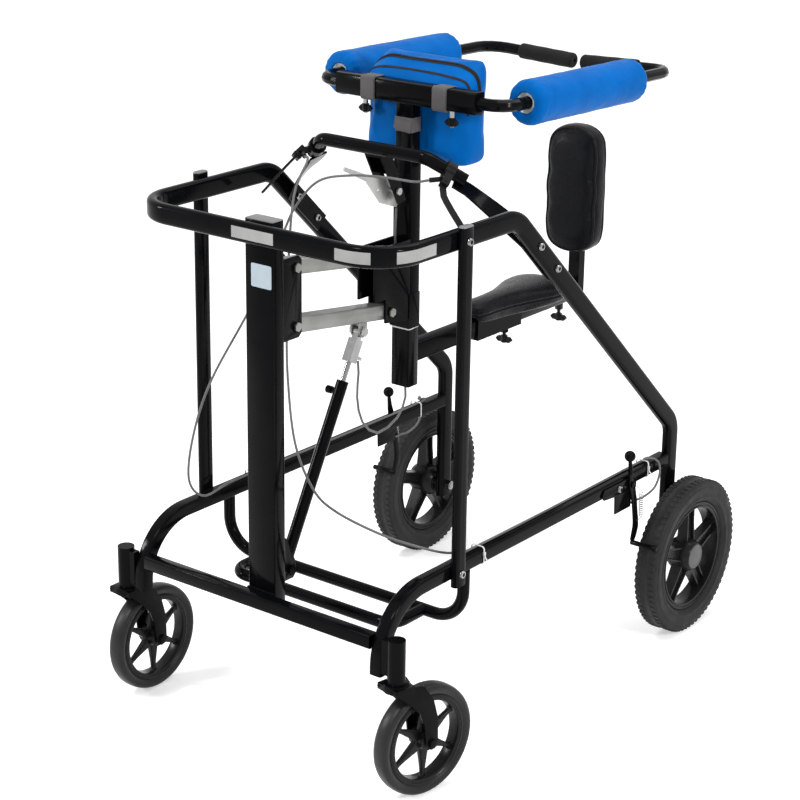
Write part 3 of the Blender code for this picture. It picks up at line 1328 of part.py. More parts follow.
def armrests(carrier):
    """Bars that slide in the crossbar, each with a foam sleeve and a grip."""
    start, front, rear, tip = arm_bar_corners()
    route = filleted([start, front, rear, tip], [ARM_BAR_FRONT_BEND, ARM_BAR_REAR_BEND])
    bar = tube(route, BAR_RADIUS)

    ahead = (rear - front).normalized()
    foam_start = front.lerp(rear, FOAM_START)
    foam_end = foam_start + ahead * FOAM_LENGTH
    half = FOAM_LENGTH / 2
    deep = half - FOAM_RECESS
    bore = BAR_RADIUS + 2 * CLEAR
    profile = [
        (FOAM_RADIUS - FOAM_EDGE, half), (FOAM_RADIUS, half - FOAM_EDGE),
        (FOAM_RADIUS, FOAM_EDGE - half), (FOAM_RADIUS - FOAM_EDGE, -half),
        (FOAM_RECESS_RADIUS, -half), (FOAM_RECESS_RADIUS, -deep), (bore, -deep),
        (bore, deep), (FOAM_RECESS_RADIUS, deep), (FOAM_RECESS_RADIUS, half),
    ]
    foam = turned(profile, (foam_start + foam_end) / 2, ahead, steps=FOAM_STEPS)

    inward = (tip - rear).normalized()
    grip_end = tip + inward * (GRIP_END_WALL + CLEAR)
    grip_start = grip_end - inward * GRIP_LENGTH
    shell = rod(grip_start, grip_end, GRIP_RADIUS, sides=20)
    hollow = rod(grip_start - inward * JOINED, tip + inward * CLEAR, BAR_RADIUS + CLEAR, sides=20)
    grip = combine(shell, cuts=[hollow])

    knob = wing_knob(Vector((ARM_KNOB_X, COLUMN_Y, 0)), CROSSBAR_Z - BAR_RADIUS - CLEAR,
                     CROSSBAR_Z - CROSSBAR_TALL / 2 - KNOB_DROP, ARM_WING_SPAN)
    for name, side in SIDES:
        slide = joint(f"armrest_slide_{name}", (side * CROSSBAR_HALF, COLUMN_Y, CROSSBAR_Z), carrier)
        place_side("armrest_bar", name, side, bar, black_paint(), slide)
        place_side("armrest_foam", name, side, foam, blue_vinyl(), slide)
        place_side("hand_grip", name, side, grip, grip_foam(), slide)
        turn = joint(f"armrest_knob_turn_{name}",
                     (side * ARM_KNOB_X, COLUMN_Y, CROSSBAR_Z - CROSSBAR_TALL / 2), carrier)
        place_side("armrest_knob", name, side, knob, black_plastic(), turn)


def wing_knob(axis_at, screw_top, knob_top, span):
    """Screw that points up, under it a hub with two rounded wings."""
    hub = rod((axis_at.x, axis_at.y, knob_top - KNOB_TALL), (axis_at.x, axis_at.y, knob_top),
              KNOB_HUB_RADIUS, sides=8, end_radius=KNOB_HUB_TOP_RADIUS)
    outline = rounded_outline(span, WING_TALL, WING_CORNER, steps=1)
    wings = plate(outline, WING_THICK, (axis_at.x, axis_at.y, knob_top - WING_DROP), normal="Y")
    screw = rod((axis_at.x, axis_at.y, knob_top - KNOB_TALL / 2),
                (axis_at.x, axis_at.y, screw_top), SCREW_RADIUS, sides=8)
    return combine(hub, joins=[wings, screw])


# Cushions

def cushion_cage(shape, cuts=3):
    """Closed cage from a divided cube, each vertex sent through a shape function.

    The function takes coordinates from -1 to 1 and gives a world position.
    """
    work = bmesh.new()
    bmesh.ops.create_cube(work, size=2.0)
    bmesh.ops.subdivide_edges(work, edges=work.edges, cuts=cuts, use_grid_fill=True)
    for vert in work.verts:
        vert.co = shape(*vert.co)
    mesh = bpy.data.meshes.new("cushion")
    work.to_mesh(mesh)
    work.free()
    return mesh


def spread(share):
    """Coordinate from -1 to 1 with the lines between moved towards the edges."""
    return share * (EDGE_PULL + (1 - EDGE_PULL) * share * share)


def softened(mesh, levels=1):
    """Cage after Subdivision Surface, as a mesh that can be cut."""
    item = spare("cushion", mesh)
    surface = item.modifiers.new("soft", "SUBSURF")
    surface.levels = levels
    surface.render_levels = levels
    return evaluated(item)


def chest_pad(carrier):
    """Block cushion behind the crossbar, its top sloping up to a crowned rear face."""
    front = COLUMN_Y + CROSSBAR_DEPTH / 2 + CLEAR
    bottom = CROSSBAR_Z + CROSSBAR_TALL / 2 + PAD_OVER_BAR - PAD_TALL

    def shape(u, v, w):
        depth = (v + 1) / 2
        crown = PAD_CROWN * (1 - u * u) * (1 - w * w)
        tall = PAD_TALL + PAD_RISE * depth
        return Vector((
            spread(u) * PAD_WIDTH / 2,
            front + depth * (PAD_THICK - PAD_CROWN + crown),
            bottom + tall * (spread(w) + 1) / 2,
        ))

    place("chest_pad", softened(cushion_cage(shape, cuts=2)), blue_vinyl(), carrier)


def saddle_half_width(along_it):
    """Half width of the saddle, along from 0 at the nose to 1 at the rear."""
    swell = max(0.0, (along_it - SADDLE_NOSE_SHARE) / (1 - SADDLE_NOSE_SHARE))
    eased = swell * swell * (3 - 2 * swell)
    rear = max(0.0, (along_it - 1 + SADDLE_ROUND_SHARE) / SADDLE_ROUND_SHARE)
    round_end = 1 - SADDLE_ROUND * rear * rear
    return (SADDLE_HALF_NOSE + (SADDLE_HALF_REAR - SADDLE_HALF_NOSE) * eased) * round_end


def saddle(carrier):
    """Saddle whose skirt hangs down on both sides of its clamp."""
    bottom = SADDLE_Z - SADDLE_SKIRT

    def shape(u, v, w):
        along_it = (v + 1) / 2
        half = saddle_half_width(along_it)
        tuck = 1.0 if w > -0.5 else SADDLE_TUCK
        crown = 1 - SADDLE_CROWN * u * u
        height = (w + 1) / 2 * SADDLE_TALL * (crown if w > 0 else 1.0)
        return Vector((
            u * half * tuck,
            SADDLE_FRONT_Y + SADDLE_LENGTH * along_it,
            bottom + height,
        ))

    middle_y = SADDLE_FRONT_Y + SADDLE_LENGTH / 2
    recess = box((clamp_outside()[0] + 2 * CLEAR, 2 * SADDLE_LENGTH, 2 * SADDLE_SKIRT),
                 (0, middle_y, bottom))
    mesh = combine(softened(cushion_cage(shape)), cuts=[recess])
    place("saddle", mesh, black_vinyl(), carrier)


def backrest_pad(carrier):
    """Crowned upright pad with a groove in its back for the bar."""
    back_y = BACK_BAR_Y + BACK_BAR_DEPTH / 2 + CLEAR

    def shape(u, v, w):
        crown = BACK_CROWN * (1 - u * u) * (1 - w * w)
        depth = (1 - v) / 2
        cut = BACK_CORNER_CUT if abs(u * w) == 1 else 0.0
        return Vector((
            u * (BACK_WIDTH / 2 - cut),
            back_y - depth * (BACK_THICK - BACK_CROWN + crown),
            BACK_Z + spread(w) * (BACK_TALL / 2 - cut),
        ))

    groove_top = BACK_Z - BACK_TALL / 2 + BACK_BAR_IN_PAD + CLEAR
    groove_bottom = BACK_Z - BACK_TALL
    groove = box(
        (BAR_SIZE + 2 * CLEAR, BACK_BAR_DEPTH + 4 * CLEAR, groove_top - groove_bottom),
        (0, BACK_BAR_Y + CLEAR, (groove_top + groove_bottom) / 2),
    )
    mesh = combine(softened(cushion_cage(shape, cuts=2)), cuts=[groove])
    place("backrest_pad", mesh, black_vinyl(), carrier)


# Seat fittings

def clamp_inside():
    return SEAT_ARM_WIDTH + 2 * CLEAR, SEAT_ARM_TALL + 2 * CLEAR


def clamp_outside():
    return tuple(size + 2 * CLAMP_WALL for size in clamp_inside())


def saddle_clamp(carrier):
    """Sleeve round the seat arm, with a boss below for its knob."""
    middle_y = CLAMP_FRONT_Y + CLAMP_LENGTH / 2
    width, tall = clamp_outside()
    body = box((width, CLAMP_LENGTH, tall), (0, middle_y, SEAT_ARM_Z))
    boss_bottom = SEAT_ARM_UNDER_Z - CLEAR - CLAMP_WALL - CLAMP_BOSS
    boss = rod((0, SEAT_KNOB_Y, boss_bottom),
               (0, SEAT_KNOB_Y, SEAT_ARM_UNDER_Z - CLEAR - JOINED), BOSS_RADIUS)
    bore = swept([Vector((0, CLAMP_FRONT_Y - JOINED, SEAT_ARM_Z)),
                  Vector((0, CLAMP_FRONT_Y + CLAMP_LENGTH + JOINED, SEAT_ARM_Z))],
                 *clamp_inside(), BAR_CORNER)
    hole = rod((0, SEAT_KNOB_Y, boss_bottom - JOINED), (0, SEAT_KNOB_Y, SEAT_ARM_Z),
               SCREW_RADIUS + CLEAR)
    mesh = combine(body, joins=[boss], cuts=[bore, hole])
    place("saddle_clamp", mesh, black_paint(), carrier)


def seat_knobs(column, saddle_slide):
    """Wing knobs under the saddle clamp and under the end of the seat arm."""
    screw_top = SEAT_ARM_UNDER_Z - CLEAR
    boss_bottom = screw_top - CLAMP_WALL - CLAMP_BOSS
    knob = wing_knob(Vector((0, SEAT_KNOB_Y, 0)), screw_top, boss_bottom - KNOB_DROP / 2,
                     SEAT_WING_SPAN)
    turn = joint("seat_knob_turn", (0, SEAT_KNOB_Y, boss_bottom), saddle_slide)
    place("seat_knob", knob, black_plastic(), turn)

    inside = SEAT_ARM_UNDER_Z + WALL
    knob = wing_knob(Vector((0, BACK_KNOB_Y, 0)), inside, SEAT_ARM_UNDER_Z - BACK_KNOB_DROP,
                     SEAT_WING_SPAN)
    nut = rod((0, BACK_KNOB_Y, SEAT_ARM_UNDER_Z - BACK_NUT_DROP),
              (0, BACK_KNOB_Y, SEAT_ARM_UNDER_Z - CLEAR), BOSS_RADIUS, sides=6)
    turn = joint("backrest_knob_turn", (0, BACK_KNOB_Y, SEAT_ARM_UNDER_Z), column)
    place("backrest_knob", combine(knob, joins=[nut]), black_plastic(), turn)


def backrest_post(carrier):
    """Bar that slides in the seat arm and turns up into the pad."""
    wide = SEAT_ARM_WIDTH - 2 * WALL - 2 * CLEAR
    tall = SEAT_ARM_TALL - 2 * WALL - 2 * CLEAR
    start = SEAT_ARM_END_Y - BACK_BAR_INSERT
    rear = BACK_BAR_Y + BACK_BAR_DEPTH / 2
    leg = swept([Vector((0, start, SEAT_ARM_Z)),
                 Vector((0, rear - BACK_BAR_DEPTH / 4, SEAT_ARM_Z))],
                wide, tall, BAR_CORNER - WALL)
    top = BACK_Z - BACK_TALL / 2 + BACK_BAR_IN_PAD
    bottom = SEAT_ARM_Z - tall / 2 - JOINED
    rise = box((BAR_SIZE, BACK_BAR_DEPTH, top - bottom), (0, BACK_BAR_Y, (top + bottom) / 2))
    place("backrest_post", combine(leg, joins=[rise]), black_paint(), carrier)


# Handlebar and controls

def handlebar_route():
    shoulder, end = HANDLEBAR_SHOULDER, HANDLEBAR_END
    return filleted([end, shoulder, flipped(shoulder), flipped(end)], [HANDLEBAR_BEND] * 2)


def handlebar():
    """Bent bar with the channel at its middle that carries the release lever."""
    bar = tube(handlebar_route(), HANDLEBAR_RADIUS)
    front_top, rear_top = [from_bar(offset) for offset in CHANNEL_TOP]
    front_foot, rear_foot = [from_bar(offset) for offset in CHANNEL_FOOT]
    block = plate([front_top, rear_top, rear_foot, front_foot], CHANNEL_WIDTH, (0, 0, 0))
    roof = HANDLEBAR_SHOULDER.z - CHANNEL_ROOF
    back_end = HANDLEBAR_SHOULDER.z - CHANNEL_BACK_END
    slope = (rear_foot[0] - rear_top[0]) / (rear_foot[1] - rear_top[1])
    inset = CHANNEL_WALL * math.hypot(1, slope)
    past = CHANNEL_WIDTH
    slot = plate([
        (front_top[0] - past, roof),
        (rear_top[0] + slope * (roof - rear_top[1]) - inset, roof),
        (rear_top[0] + slope * (back_end - rear_top[1]) - inset, back_end),
        (rear_foot[0] + past, back_end),
        (rear_foot[0] + past, front_foot[1] - past),
        (front_top[0] - past, front_foot[1] - past),
    ], CHANNEL_WIDTH - 2 * CHANNEL_WALL, (0, 0, 0))
    hole = rod_along_x(RELEASE_PIVOT, 2 * CHANNEL_WIDTH, STRUT_PIN_RADIUS + CLEAR)
    channel = combine(block, cuts=[slot, hole])
    place("handlebar", combine(bar, joins=[channel]), black_paint())


def from_bar(offset):
    """Side view point (y, z) at an offset from the middle of the handlebar."""
    return HANDLEBAR_SHOULDER.y + offset[0], HANDLEBAR_SHOULDER.z + offset[1]


def from_release_pivot(offset):
    return RELEASE_PIVOT + Vector((0, *offset))


def release_lever():
    """Silver plate with a tail, turned in the channel to pull the cable."""
    outline = [from_release_pivot(offset).yz for offset in RELEASE_OUTLINE]
    lever = plate(outline, RELEASE_THICK, (0, 0, 0))
    eyelet = rod_along_x(from_release_pivot(RELEASE_EYELET), CHANNEL_WIDTH,
                         RELEASE_EYELET_RADIUS, sides=10)
    reach = CHANNEL_WIDTH / 2 + CLEAR + PIN_HEAD
    pins = [rod_along_x(RELEASE_PIVOT, 2 * reach - 2 * JOINED, STRUT_PIN_RADIUS)]
    for side in (1, -1):
        pins.append(rod(RELEASE_PIVOT + Vector((side * (reach - PIN_HEAD), 0, 0)),
                        RELEASE_PIVOT + Vector((side * reach, 0, 0)), RELEASE_PIN_HEAD))
    hinge = joint("release_hinge", RELEASE_PIVOT)
    place("release_lever", combine(lever, joins=pins, cuts=[eyelet]), bright_steel(), hinge)
    return from_release_pivot(RELEASE_CABLE_END)


def stay_mesh():
    """Twisted flat bar from the diagonal up to the end of the handlebar."""
    flat_x = FRAME_INSIDE_X - CLEAR - STAY_THICK / 2
    slope = (diagonal_point(STAY_BOLTS[1]) - diagonal_point(STAY_BOLTS[0])).normalized()
    start = diagonal_point(STAY_BOLTS[0]) - slope * STAY_END
    end = diagonal_point(STAY_BOLTS[1]) + slope * STAY_LIFT_OFF
    bar_dir = (HANDLEBAR_END - HANDLEBAR_SHOULDER).normalized()
    top_width = (STAY_TOP_WIDTH - bar_dir * STAY_TOP_WIDTH.dot(bar_dir)).normalized()
    under = top_width.cross(bar_dir) * (HANDLEBAR_RADIUS + CLEAR + STAY_THICK / 2)
    points = [
        Vector((flat_x, start.y, start.z)),
        Vector((flat_x, end.y, end.z)),
        STAY_MIDDLE,
        HANDLEBAR_END + bar_dir * STAY_OVERHANG + under,
        HANDLEBAR_END - bar_dir * STAY_LAP + under,
    ]
    route = points[:1] + smooth_route(points[1:], STAY_STEP)
    flat_width = Vector((0, -slope.z, slope.y)).normalized()
    if flat_width.dot(top_width) < 0:
        flat_width = -flat_width
    straight = (points[1] - points[0]).length
    stations = []
    walked = 0.0
    total = sum((b - a).length for a, b in zip(route, route[1:]))
    for index, point in enumerate(route):
        if index:
            walked += (point - route[index - 1]).length
        turn = max(0.0, (walked - straight) / (total - straight))
        eased = turn * turn * (3 - 2 * turn)
        stations.append((point, flat_width.lerp(top_width, eased)))
    ribbon = loft_ribbon(stations, STAY_WIDTH, STAY_THICK)
    bolts = []
    for point in stay_bolt_points():
        inner = Vector((flat_x - STAY_THICK / 2 - BOLT_HEAD, point.y, point.z))
        outer = Vector((FRAME_OUTSIDE_X + CLEAR + BOLT_HEAD, point.y, point.z))
        bolts.append(rod(inner + Vector((JOINED, 0, 0)), outer - Vector((JOINED, 0, 0)),
                         SCREW_RADIUS, sides=8))
        bolts.append(rod(inner, inner + Vector((BOLT_HEAD + JOINED, 0, 0)), BOLT_RADIUS, sides=6))
        bolts.append(rod(outer - Vector((BOLT_HEAD, 0, 0)), outer, BOLT_RADIUS, sides=6))
    return combine(ribbon, joins=bolts)


def loft_ribbon(stations, width, thickness):
    """Flat bar lofted through stations, each a centre and a width direction."""
    work = bmesh.new()
    rings = []
    for index, (centre, across) in enumerate(stations):
        before = stations[max(0, index - 1)][0]
        after = stations[min(len(stations) - 1, index + 1)][0]
        ahead = (after - before).normalized()
        across = (across - ahead * across.dot(ahead)).normalized()
        normal = ahead.cross(across)
        rings.append([
            work.verts.new(centre + across * width / 2 * u + normal * thickness / 2 * v)
            for u, v in ((1, 1), (-1, 1), (-1, -1), (1, -1))
        ])
    for first, second in zip(rings, rings[1:]):
        for corner in range(4):
            beside = (corner + 1) % 4
            work.faces.new((first[corner], first[beside], second[beside], second[corner]))
    work.faces.new(rings[0])
    work.faces.new(rings[-1])
    bmesh.ops.recalc_face_normals(work, faces=work.faces)
    mesh = bpy.data.meshes.new("ribbon")
    work.to_mesh(mesh)
    work.free()
    return mesh


def handlebar_stays():
    place_pair("handlebar_stay", stay_mesh(), black_paint)


def brake_pivot():
    """Pivot of the left hand brake, and the direction of its hinge."""
    bar_dir = (HANDLEBAR_END - HANDLEBAR_SHOULDER).normalized()
    clamp = HANDLEBAR_SHOULDER.lerp(HANDLEBAR_END, MOUNT_AT)
    hinge = LEVER_REACH.cross(bar_dir).normalized()
    return clamp, clamp + MOUNT_REACH, hinge, bar_dir


def hand_brakes():
    """Clamps on the handlebar, each with a forked ear that holds a lever."""
    clamp, pivot, hinge, bar_dir = brake_pivot()
    outer = HANDLEBAR_RADIUS + CLEAR + MOUNT_WALL
    ring = rod(clamp - bar_dir * MOUNT_LENGTH / 2, clamp + bar_dir * MOUNT_LENGTH / 2, outer)
    away = (pivot - clamp).normalized()
    back = (hinge * away.dot(hinge) - away).normalized()
    root = pivot + back * EAR_ROOT
    turn = Matrix((hinge, back, hinge.cross(back))).transposed().to_4x4()
    ear = box((2 * EAR_HALF, EAR_LENGTH, EAR_TALL), (pivot + root) / 2, turn)
    neck = rod(clamp + away * (outer - MOUNT_NECK_SUNK), root, MOUNT_NECK_RADIUS, sides=8)
    slot = box((LEVER_THICK + 4 * CLEAR, EAR_SLOT, EAR_SLOT),
               pivot + back * (EAR_EYE_RADIUS + CLEAR - EAR_SLOT / 2), turn)
    barrel_dir = ADJUSTER_DIRECTION.normalized()
    barrel_end = root + barrel_dir * ADJUSTER_LENGTH
    barrel = rod(root, barrel_end, ADJUSTER_RADIUS, sides=8)
    bore = rod(clamp - bar_dir * MOUNT_LENGTH, clamp + bar_dir * MOUNT_LENGTH,
               HANDLEBAR_RADIUS + CLEAR, sides=20)
    pin_hole = rod(pivot - hinge * 2 * EAR_HALF, pivot + hinge * 2 * EAR_HALF,
                   LEVER_PIN_RADIUS + CLEAR, sides=8)
    mount = combine(ring, joins=[neck, ear, barrel], cuts=[bore, slot, pin_hole])
    place_pair("brake_lever_mount", mount, black_plastic)

    side_step = LEVER_REACH.cross(hinge).normalized()
    curve = LEVER_CURVE - hinge * LEVER_CURVE.dot(hinge)
    line = smooth_route([pivot, pivot + curve, pivot + LEVER_REACH], LEVER_STEP)
    blade = loft_ribbon([(point, side_step) for point in line], LEVER_WIDTH, LEVER_THICK)
    eye_half = hinge * LEVER_THICK / 2
    eye = rod(pivot - eye_half, pivot + eye_half, EAR_EYE_RADIUS)
    pin_half = hinge * (EAR_HALF + JOINED)
    pin = rod(pivot - pin_half, pivot + pin_half, LEVER_PIN_RADIUS, sides=8)
    lever = combine(eye, joins=[blade, pin])
    for name, side in SIDES:
        at = flipped(pivot) if side < 0 else pivot
        place_side("brake_lever", name, side, lever, black_plastic(),
                   joint(f"brake_lever_hinge_{name}", at))
    return barrel_end + barrel_dir * CLEAR, barrel_dir


# Parking brakes

def parking_brakes():
    """Plates bolted to the rails, with levers that press a bar on the rear tyres."""
    plate_x = FRAME_OUTSIDE_X + CLEAR + PARK_PLATE / 2
    pivot_y, pivot_z = PARK_PIVOT
    rail_top = RAIL_Z + BAR_SIZE / 2
    outline = [(pivot_y + y, rail_top + z) for y, z in PARK_BRACKET]
    bracket = plate(outline, PARK_PLATE, (plate_x, 0, 0))
    face = plate_x + PARK_PLATE / 2
    bolt_y, bolt_z = pivot_y + PARK_BOLT[0], pivot_z + PARK_BOLT[1]
    bolt = rod((face - JOINED, bolt_y, bolt_z), (face + BOLT_HEAD, bolt_y, bolt_z), BOLT_RADIUS)
    stud = rod((face - JOINED, pivot_y, pivot_z),
               (face + PARK_LEVER_GAP + PARK_LEVER + 2 * CLEAR, pivot_y, pivot_z),
               STRUT_PIN_RADIUS)
    head = rod((face + PARK_LEVER_GAP + PARK_LEVER + CLEAR, pivot_y, pivot_z),
               (face + PARK_LEVER_GAP + PARK_LEVER + PARK_HEAD, pivot_y, pivot_z), BOLT_RADIUS)
    place_pair("parking_brake_bracket", combine(bracket, joins=[bolt, stud, head]), black_paint)

    shoe = shoe_centre()
    heel = Vector(PARK_HEEL)
    knob = Vector(PARK_KNOB)
    pivot = Vector(PARK_PIVOT)
    arm_line = [knob, pivot, Vector(PARK_ELBOW), heel, shoe]
    lever = plate(band_outline(arm_line, PARK_BAND), PARK_LEVER, (PARK_LEVER_X, 0, 0))
    pad = rod((PARK_LEVER_X - PARK_LEVER / 2, shoe.x, shoe.y),
              (REAR_WHEEL_X + REAR_WIDTH / 2 - SHOE_SHORT, shoe.x, shoe.y), SHOE_RADIUS)
    grip = rod((PARK_LEVER_X - PARK_LEVER / 2, knob.x, knob.y),
               (PARK_LEVER_X + PARK_LEVER / 2 + PARK_KNOB_LENGTH, knob.x, knob.y),
               PARK_KNOB_RADIUS)
    hole = rod_along_x((PARK_LEVER_X, pivot.x, pivot.y), 4 * PARK_LEVER,
                       STRUT_PIN_RADIUS + CLEAR)
    mesh = combine(lever, joins=[pad, grip], cuts=[hole])
    for name, side in SIDES:
        hinge = joint(f"parking_brake_hinge_{name}", (side * PARK_LEVER_X, pivot.x, pivot.y))
        place_side("parking_brake_lever", name, side, mesh, black_paint(), hinge)


def shoe_centre():
    """Centre of the shoe bar as (y, z), a small gap off the tyre."""
    reach = REAR_RADIUS + SHOE_GAP + SHOE_RADIUS
    return Vector((REAR_AXLE_Y + reach * math.cos(SHOE_ANGLE),
                   REAR_RADIUS + reach * math.sin(SHOE_ANGLE)))


def band_outline(line, halves):
    """Outline of a band along a bent line, with a half width and a round end at each end."""
    left, right = [], []
    for index, point in enumerate(line):
        before = line[max(0, index - 1)]
        after = line[min(len(line) - 1, index + 1)]
        ahead = (after - before).normalized()
        across = Vector((-ahead.y, ahead.x))
        left.append(point + across * halves[index])
        right.append(point - across * halves[index])
    return left + round_end(line[-2], line[-1], halves[-1]) + right[::-1] + \
        round_end(line[1], line[0], halves[0])


def round_end(before, end, radius):
    """Half circle past the end of a band, from its left side to its right."""
    ahead = (end - before).normalized()
    across = Vector((-ahead.y, ahead.x))
    return [end + radius * (across * math.cos(angle) + ahead * math.sin(angle))
            for angle in (math.pi / 4, math.pi / 2, math.pi * 3 / 4)]


# Cables

def release_cable(lever_end, strut_tongue):
    """From the release lever through the column to the strut's head."""
    bottom = COLUMN_BOTTOM_Z
    hole_y = COLUMN_FRONT_Y + WALL / 2
    route = [
        lever_end,
        Vector((0, lever_end.y - 0.002, CABLE_HOLE_Z + 0.060)),
        Vector((0, COLUMN_FRONT_Y - 0.0115, CABLE_HOLE_Z + 0.011)),
        Vector((0, hole_y, CABLE_HOLE_Z)),
        Vector((0, COLUMN_Y - 0.002, CABLE_HOLE_Z - 0.012)),
        Vector((0, COLUMN_Y, CABLE_HOLE_Z - 0.050)),
        Vector((0, COLUMN_Y, (CABLE_HOLE_Z + bottom) / 2)),
        Vector((0, COLUMN_Y + 0.002, bottom + 0.010)),
        Vector((0, COLUMN_Y + 0.004, bottom - 0.026)),
        Vector((0, COLUMN_Y - 0.020, bottom - 0.060)),
        Vector((0, COLUMN_Y - 0.077, bottom - 0.074)),
        Vector((0, COLUMN_Y - 0.122, bottom - 0.040)),
        Vector((0, COLUMN_Y - 0.137, bottom + 0.010)),
        Vector((0, strut_tongue.y + 0.006, strut_tongue.z - 0.030)),
        Vector((0, strut_tongue.y + 0.004, strut_tongue.z - 0.0075)),
    ]
    line = smooth_route(route[:7], CABLE_STEP * 0.35) + smooth_route(route[7:], CABLE_STEP * 0.7)
    place("release_cable", tube(line, CABLE_RADIUS, resolution=2), cable_grey())


def rail_run(side):
    """Points of a brake cable along the top of a rail, then down to the brake plate."""
    top = RAIL_Z + BAR_SIZE / 2 + CLEAR + CABLE_RADIUS
    inside = RAIL_X - RAIL_CABLE_INSET
    outside = FRAME_OUTSIDE_X + CLEAR + CABLE_RADIUS
    stop_y = PARK_PIVOT[0] + PARK_CABLE_STOP
    straight = [Vector((side * inside, y, top)) for y in RAIL_CABLE_Y]
    loop = [
        Vector((side * (inside + 0.007), 0.306, top + 0.006)),
        Vector((side * (inside + 0.0175), 0.324, top + 0.004)),
        Vector((side * (outside + 0.0035), 0.336, top - 0.010)),
        Vector((side * (outside + 0.0040), 0.338, top - 0.033)),
        Vector((side * (outside + 0.0020), 0.324, top - 0.056)),
        Vector((side * (outside - 0.0006), 0.290, top - 0.0645)),
        Vector((side * (outside - 0.0010), 0.262, top - 0.0625)),
        Vector((side * (outside - 0.0010), stop_y, top - 0.0625)),
    ]
    return straight, loop


def brake_cables(barrel_end, barrel_dir):
    """Each crosses in front of the handlebar and runs down to the other side's rail."""
    lead = [barrel_end, barrel_end + barrel_dir * BARREL_LEAD]
    left_start = lead + [Vector(point) for point in LEFT_CABLE]
    right_start = [flipped(point) for point in lead] + [Vector(point) for point in RIGHT_CABLE]
    for name, start, side in (("left", left_start, -1), ("right", right_start, 1)):
        straight, loop = rail_run(side)
        route = smooth_route(start + straight[:1], CABLE_STEP)
        route += smooth_route(straight[1:] + loop, CABLE_STEP * 0.6)
        place(f"brake_cable_{name}", tube(route, CABLE_RADIUS, resolution=2), cable_grey())


def main():
    global parts, cutters
    clear_scene()
    parts = make_collection("rehabilitation_walker")
    cutters = make_collection("cutters")
    upper_frame()
    lower_rails()
    front_beam()
    front_mast()
    uprights()
    foot_frame()
    rear_axles()
    rear_wheels()
    caster_sleeves()
    casters()
    lift_bracket()
    lower = lift_arms()
    column = column_joint(lower)
    lift_column(column)
    seat_arm(column)
    tongue = gas_strut()
    chest = chest_joint(column)
    chest_post(chest)
    chest_pad(chest)
    armrests(chest)
    saddle_slide = joint("saddle_slide", (0, CLAMP_FRONT_Y, SEAT_ARM_Z), column)
    saddle(saddle_slide)
    saddle_clamp(saddle_slide)
    seat_knobs(column, saddle_slide)
    back_slide = joint("backrest_slide", (0, SEAT_ARM_END_Y, SEAT_ARM_Z), column)
    backrest_post(back_slide)
    backrest_pad(back_slide)
    handlebar()
    handlebar_stays()
    lever_end = release_lever()
    barrel_end, barrel_dir = hand_brakes()
    parking_brakes()
    release_cable(lever_end, tongue)
    brake_cables(barrel_end, barrel_dir)


if __name__ == "__main__":
    main()
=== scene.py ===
"""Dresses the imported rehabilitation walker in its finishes, cushions, tyres, straps and trim.

Metres, +Z up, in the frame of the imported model: the casters are at -Y, the user stands at +Y
and faces -Y, and the user's left is at +X.
"""

import json
import logging
import math
from dataclasses import dataclass
from enum import Enum
from typing import Any, Callable, Iterable, Sequence

import bmesh
import bpy
import numpy as np
from mathutils import Matrix, Vector, noise
from mathutils.bvhtree import BVHTree

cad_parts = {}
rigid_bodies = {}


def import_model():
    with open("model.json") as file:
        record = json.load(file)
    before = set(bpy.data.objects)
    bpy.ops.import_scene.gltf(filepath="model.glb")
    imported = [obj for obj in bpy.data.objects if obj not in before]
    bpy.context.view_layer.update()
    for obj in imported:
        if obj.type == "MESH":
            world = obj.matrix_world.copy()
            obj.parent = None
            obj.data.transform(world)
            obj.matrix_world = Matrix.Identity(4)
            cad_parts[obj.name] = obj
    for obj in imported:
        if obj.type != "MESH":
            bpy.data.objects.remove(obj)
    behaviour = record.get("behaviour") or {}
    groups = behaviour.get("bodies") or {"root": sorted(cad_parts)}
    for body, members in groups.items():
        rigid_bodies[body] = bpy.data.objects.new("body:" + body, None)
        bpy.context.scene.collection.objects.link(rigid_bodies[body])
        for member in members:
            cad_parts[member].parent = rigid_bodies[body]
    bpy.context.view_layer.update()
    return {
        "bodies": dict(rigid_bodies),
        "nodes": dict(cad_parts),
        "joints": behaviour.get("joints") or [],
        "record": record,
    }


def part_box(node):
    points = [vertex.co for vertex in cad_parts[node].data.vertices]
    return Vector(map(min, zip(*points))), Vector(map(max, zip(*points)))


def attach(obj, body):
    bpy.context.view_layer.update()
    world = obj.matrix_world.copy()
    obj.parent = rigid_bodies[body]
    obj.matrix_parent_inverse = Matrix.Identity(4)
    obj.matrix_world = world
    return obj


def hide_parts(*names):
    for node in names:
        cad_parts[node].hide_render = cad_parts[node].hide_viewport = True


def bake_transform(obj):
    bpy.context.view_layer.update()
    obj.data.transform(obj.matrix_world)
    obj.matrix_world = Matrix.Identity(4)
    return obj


Point = Sequence[float]
Line = Sequence[Vector]
Flat = tuple[float, float]
Three = tuple[float, float, float]
Mesh = bpy.types.Mesh
Socket = bpy.types.NodeSocket

LOG = logging.getLogger("walker")
SIDES: tuple[tuple[str, float], ...] = (("left", 1.0), ("right", -1.0))
LEFT, BACK, UP = Vector((1, 0, 0)), Vector((0, 1, 0)), Vector((0, 0, 1))
STITCH_SIZE: Flat = (0.0026, 0.00035)
STITCH_PITCH = 0.0042
# The scale and the detail of the noise that mixes a finish's two colours, and of the one in its gloss.
PATCHES: Flat = (14.0, 5.0)
SMEARS: Flat = (55.0, 6.0)
CLOTH = {"quality": 5, "mass": 0.25, "tension_stiffness": 12.0, "compression_stiffness": 12.0,
         "use_pressure": True}


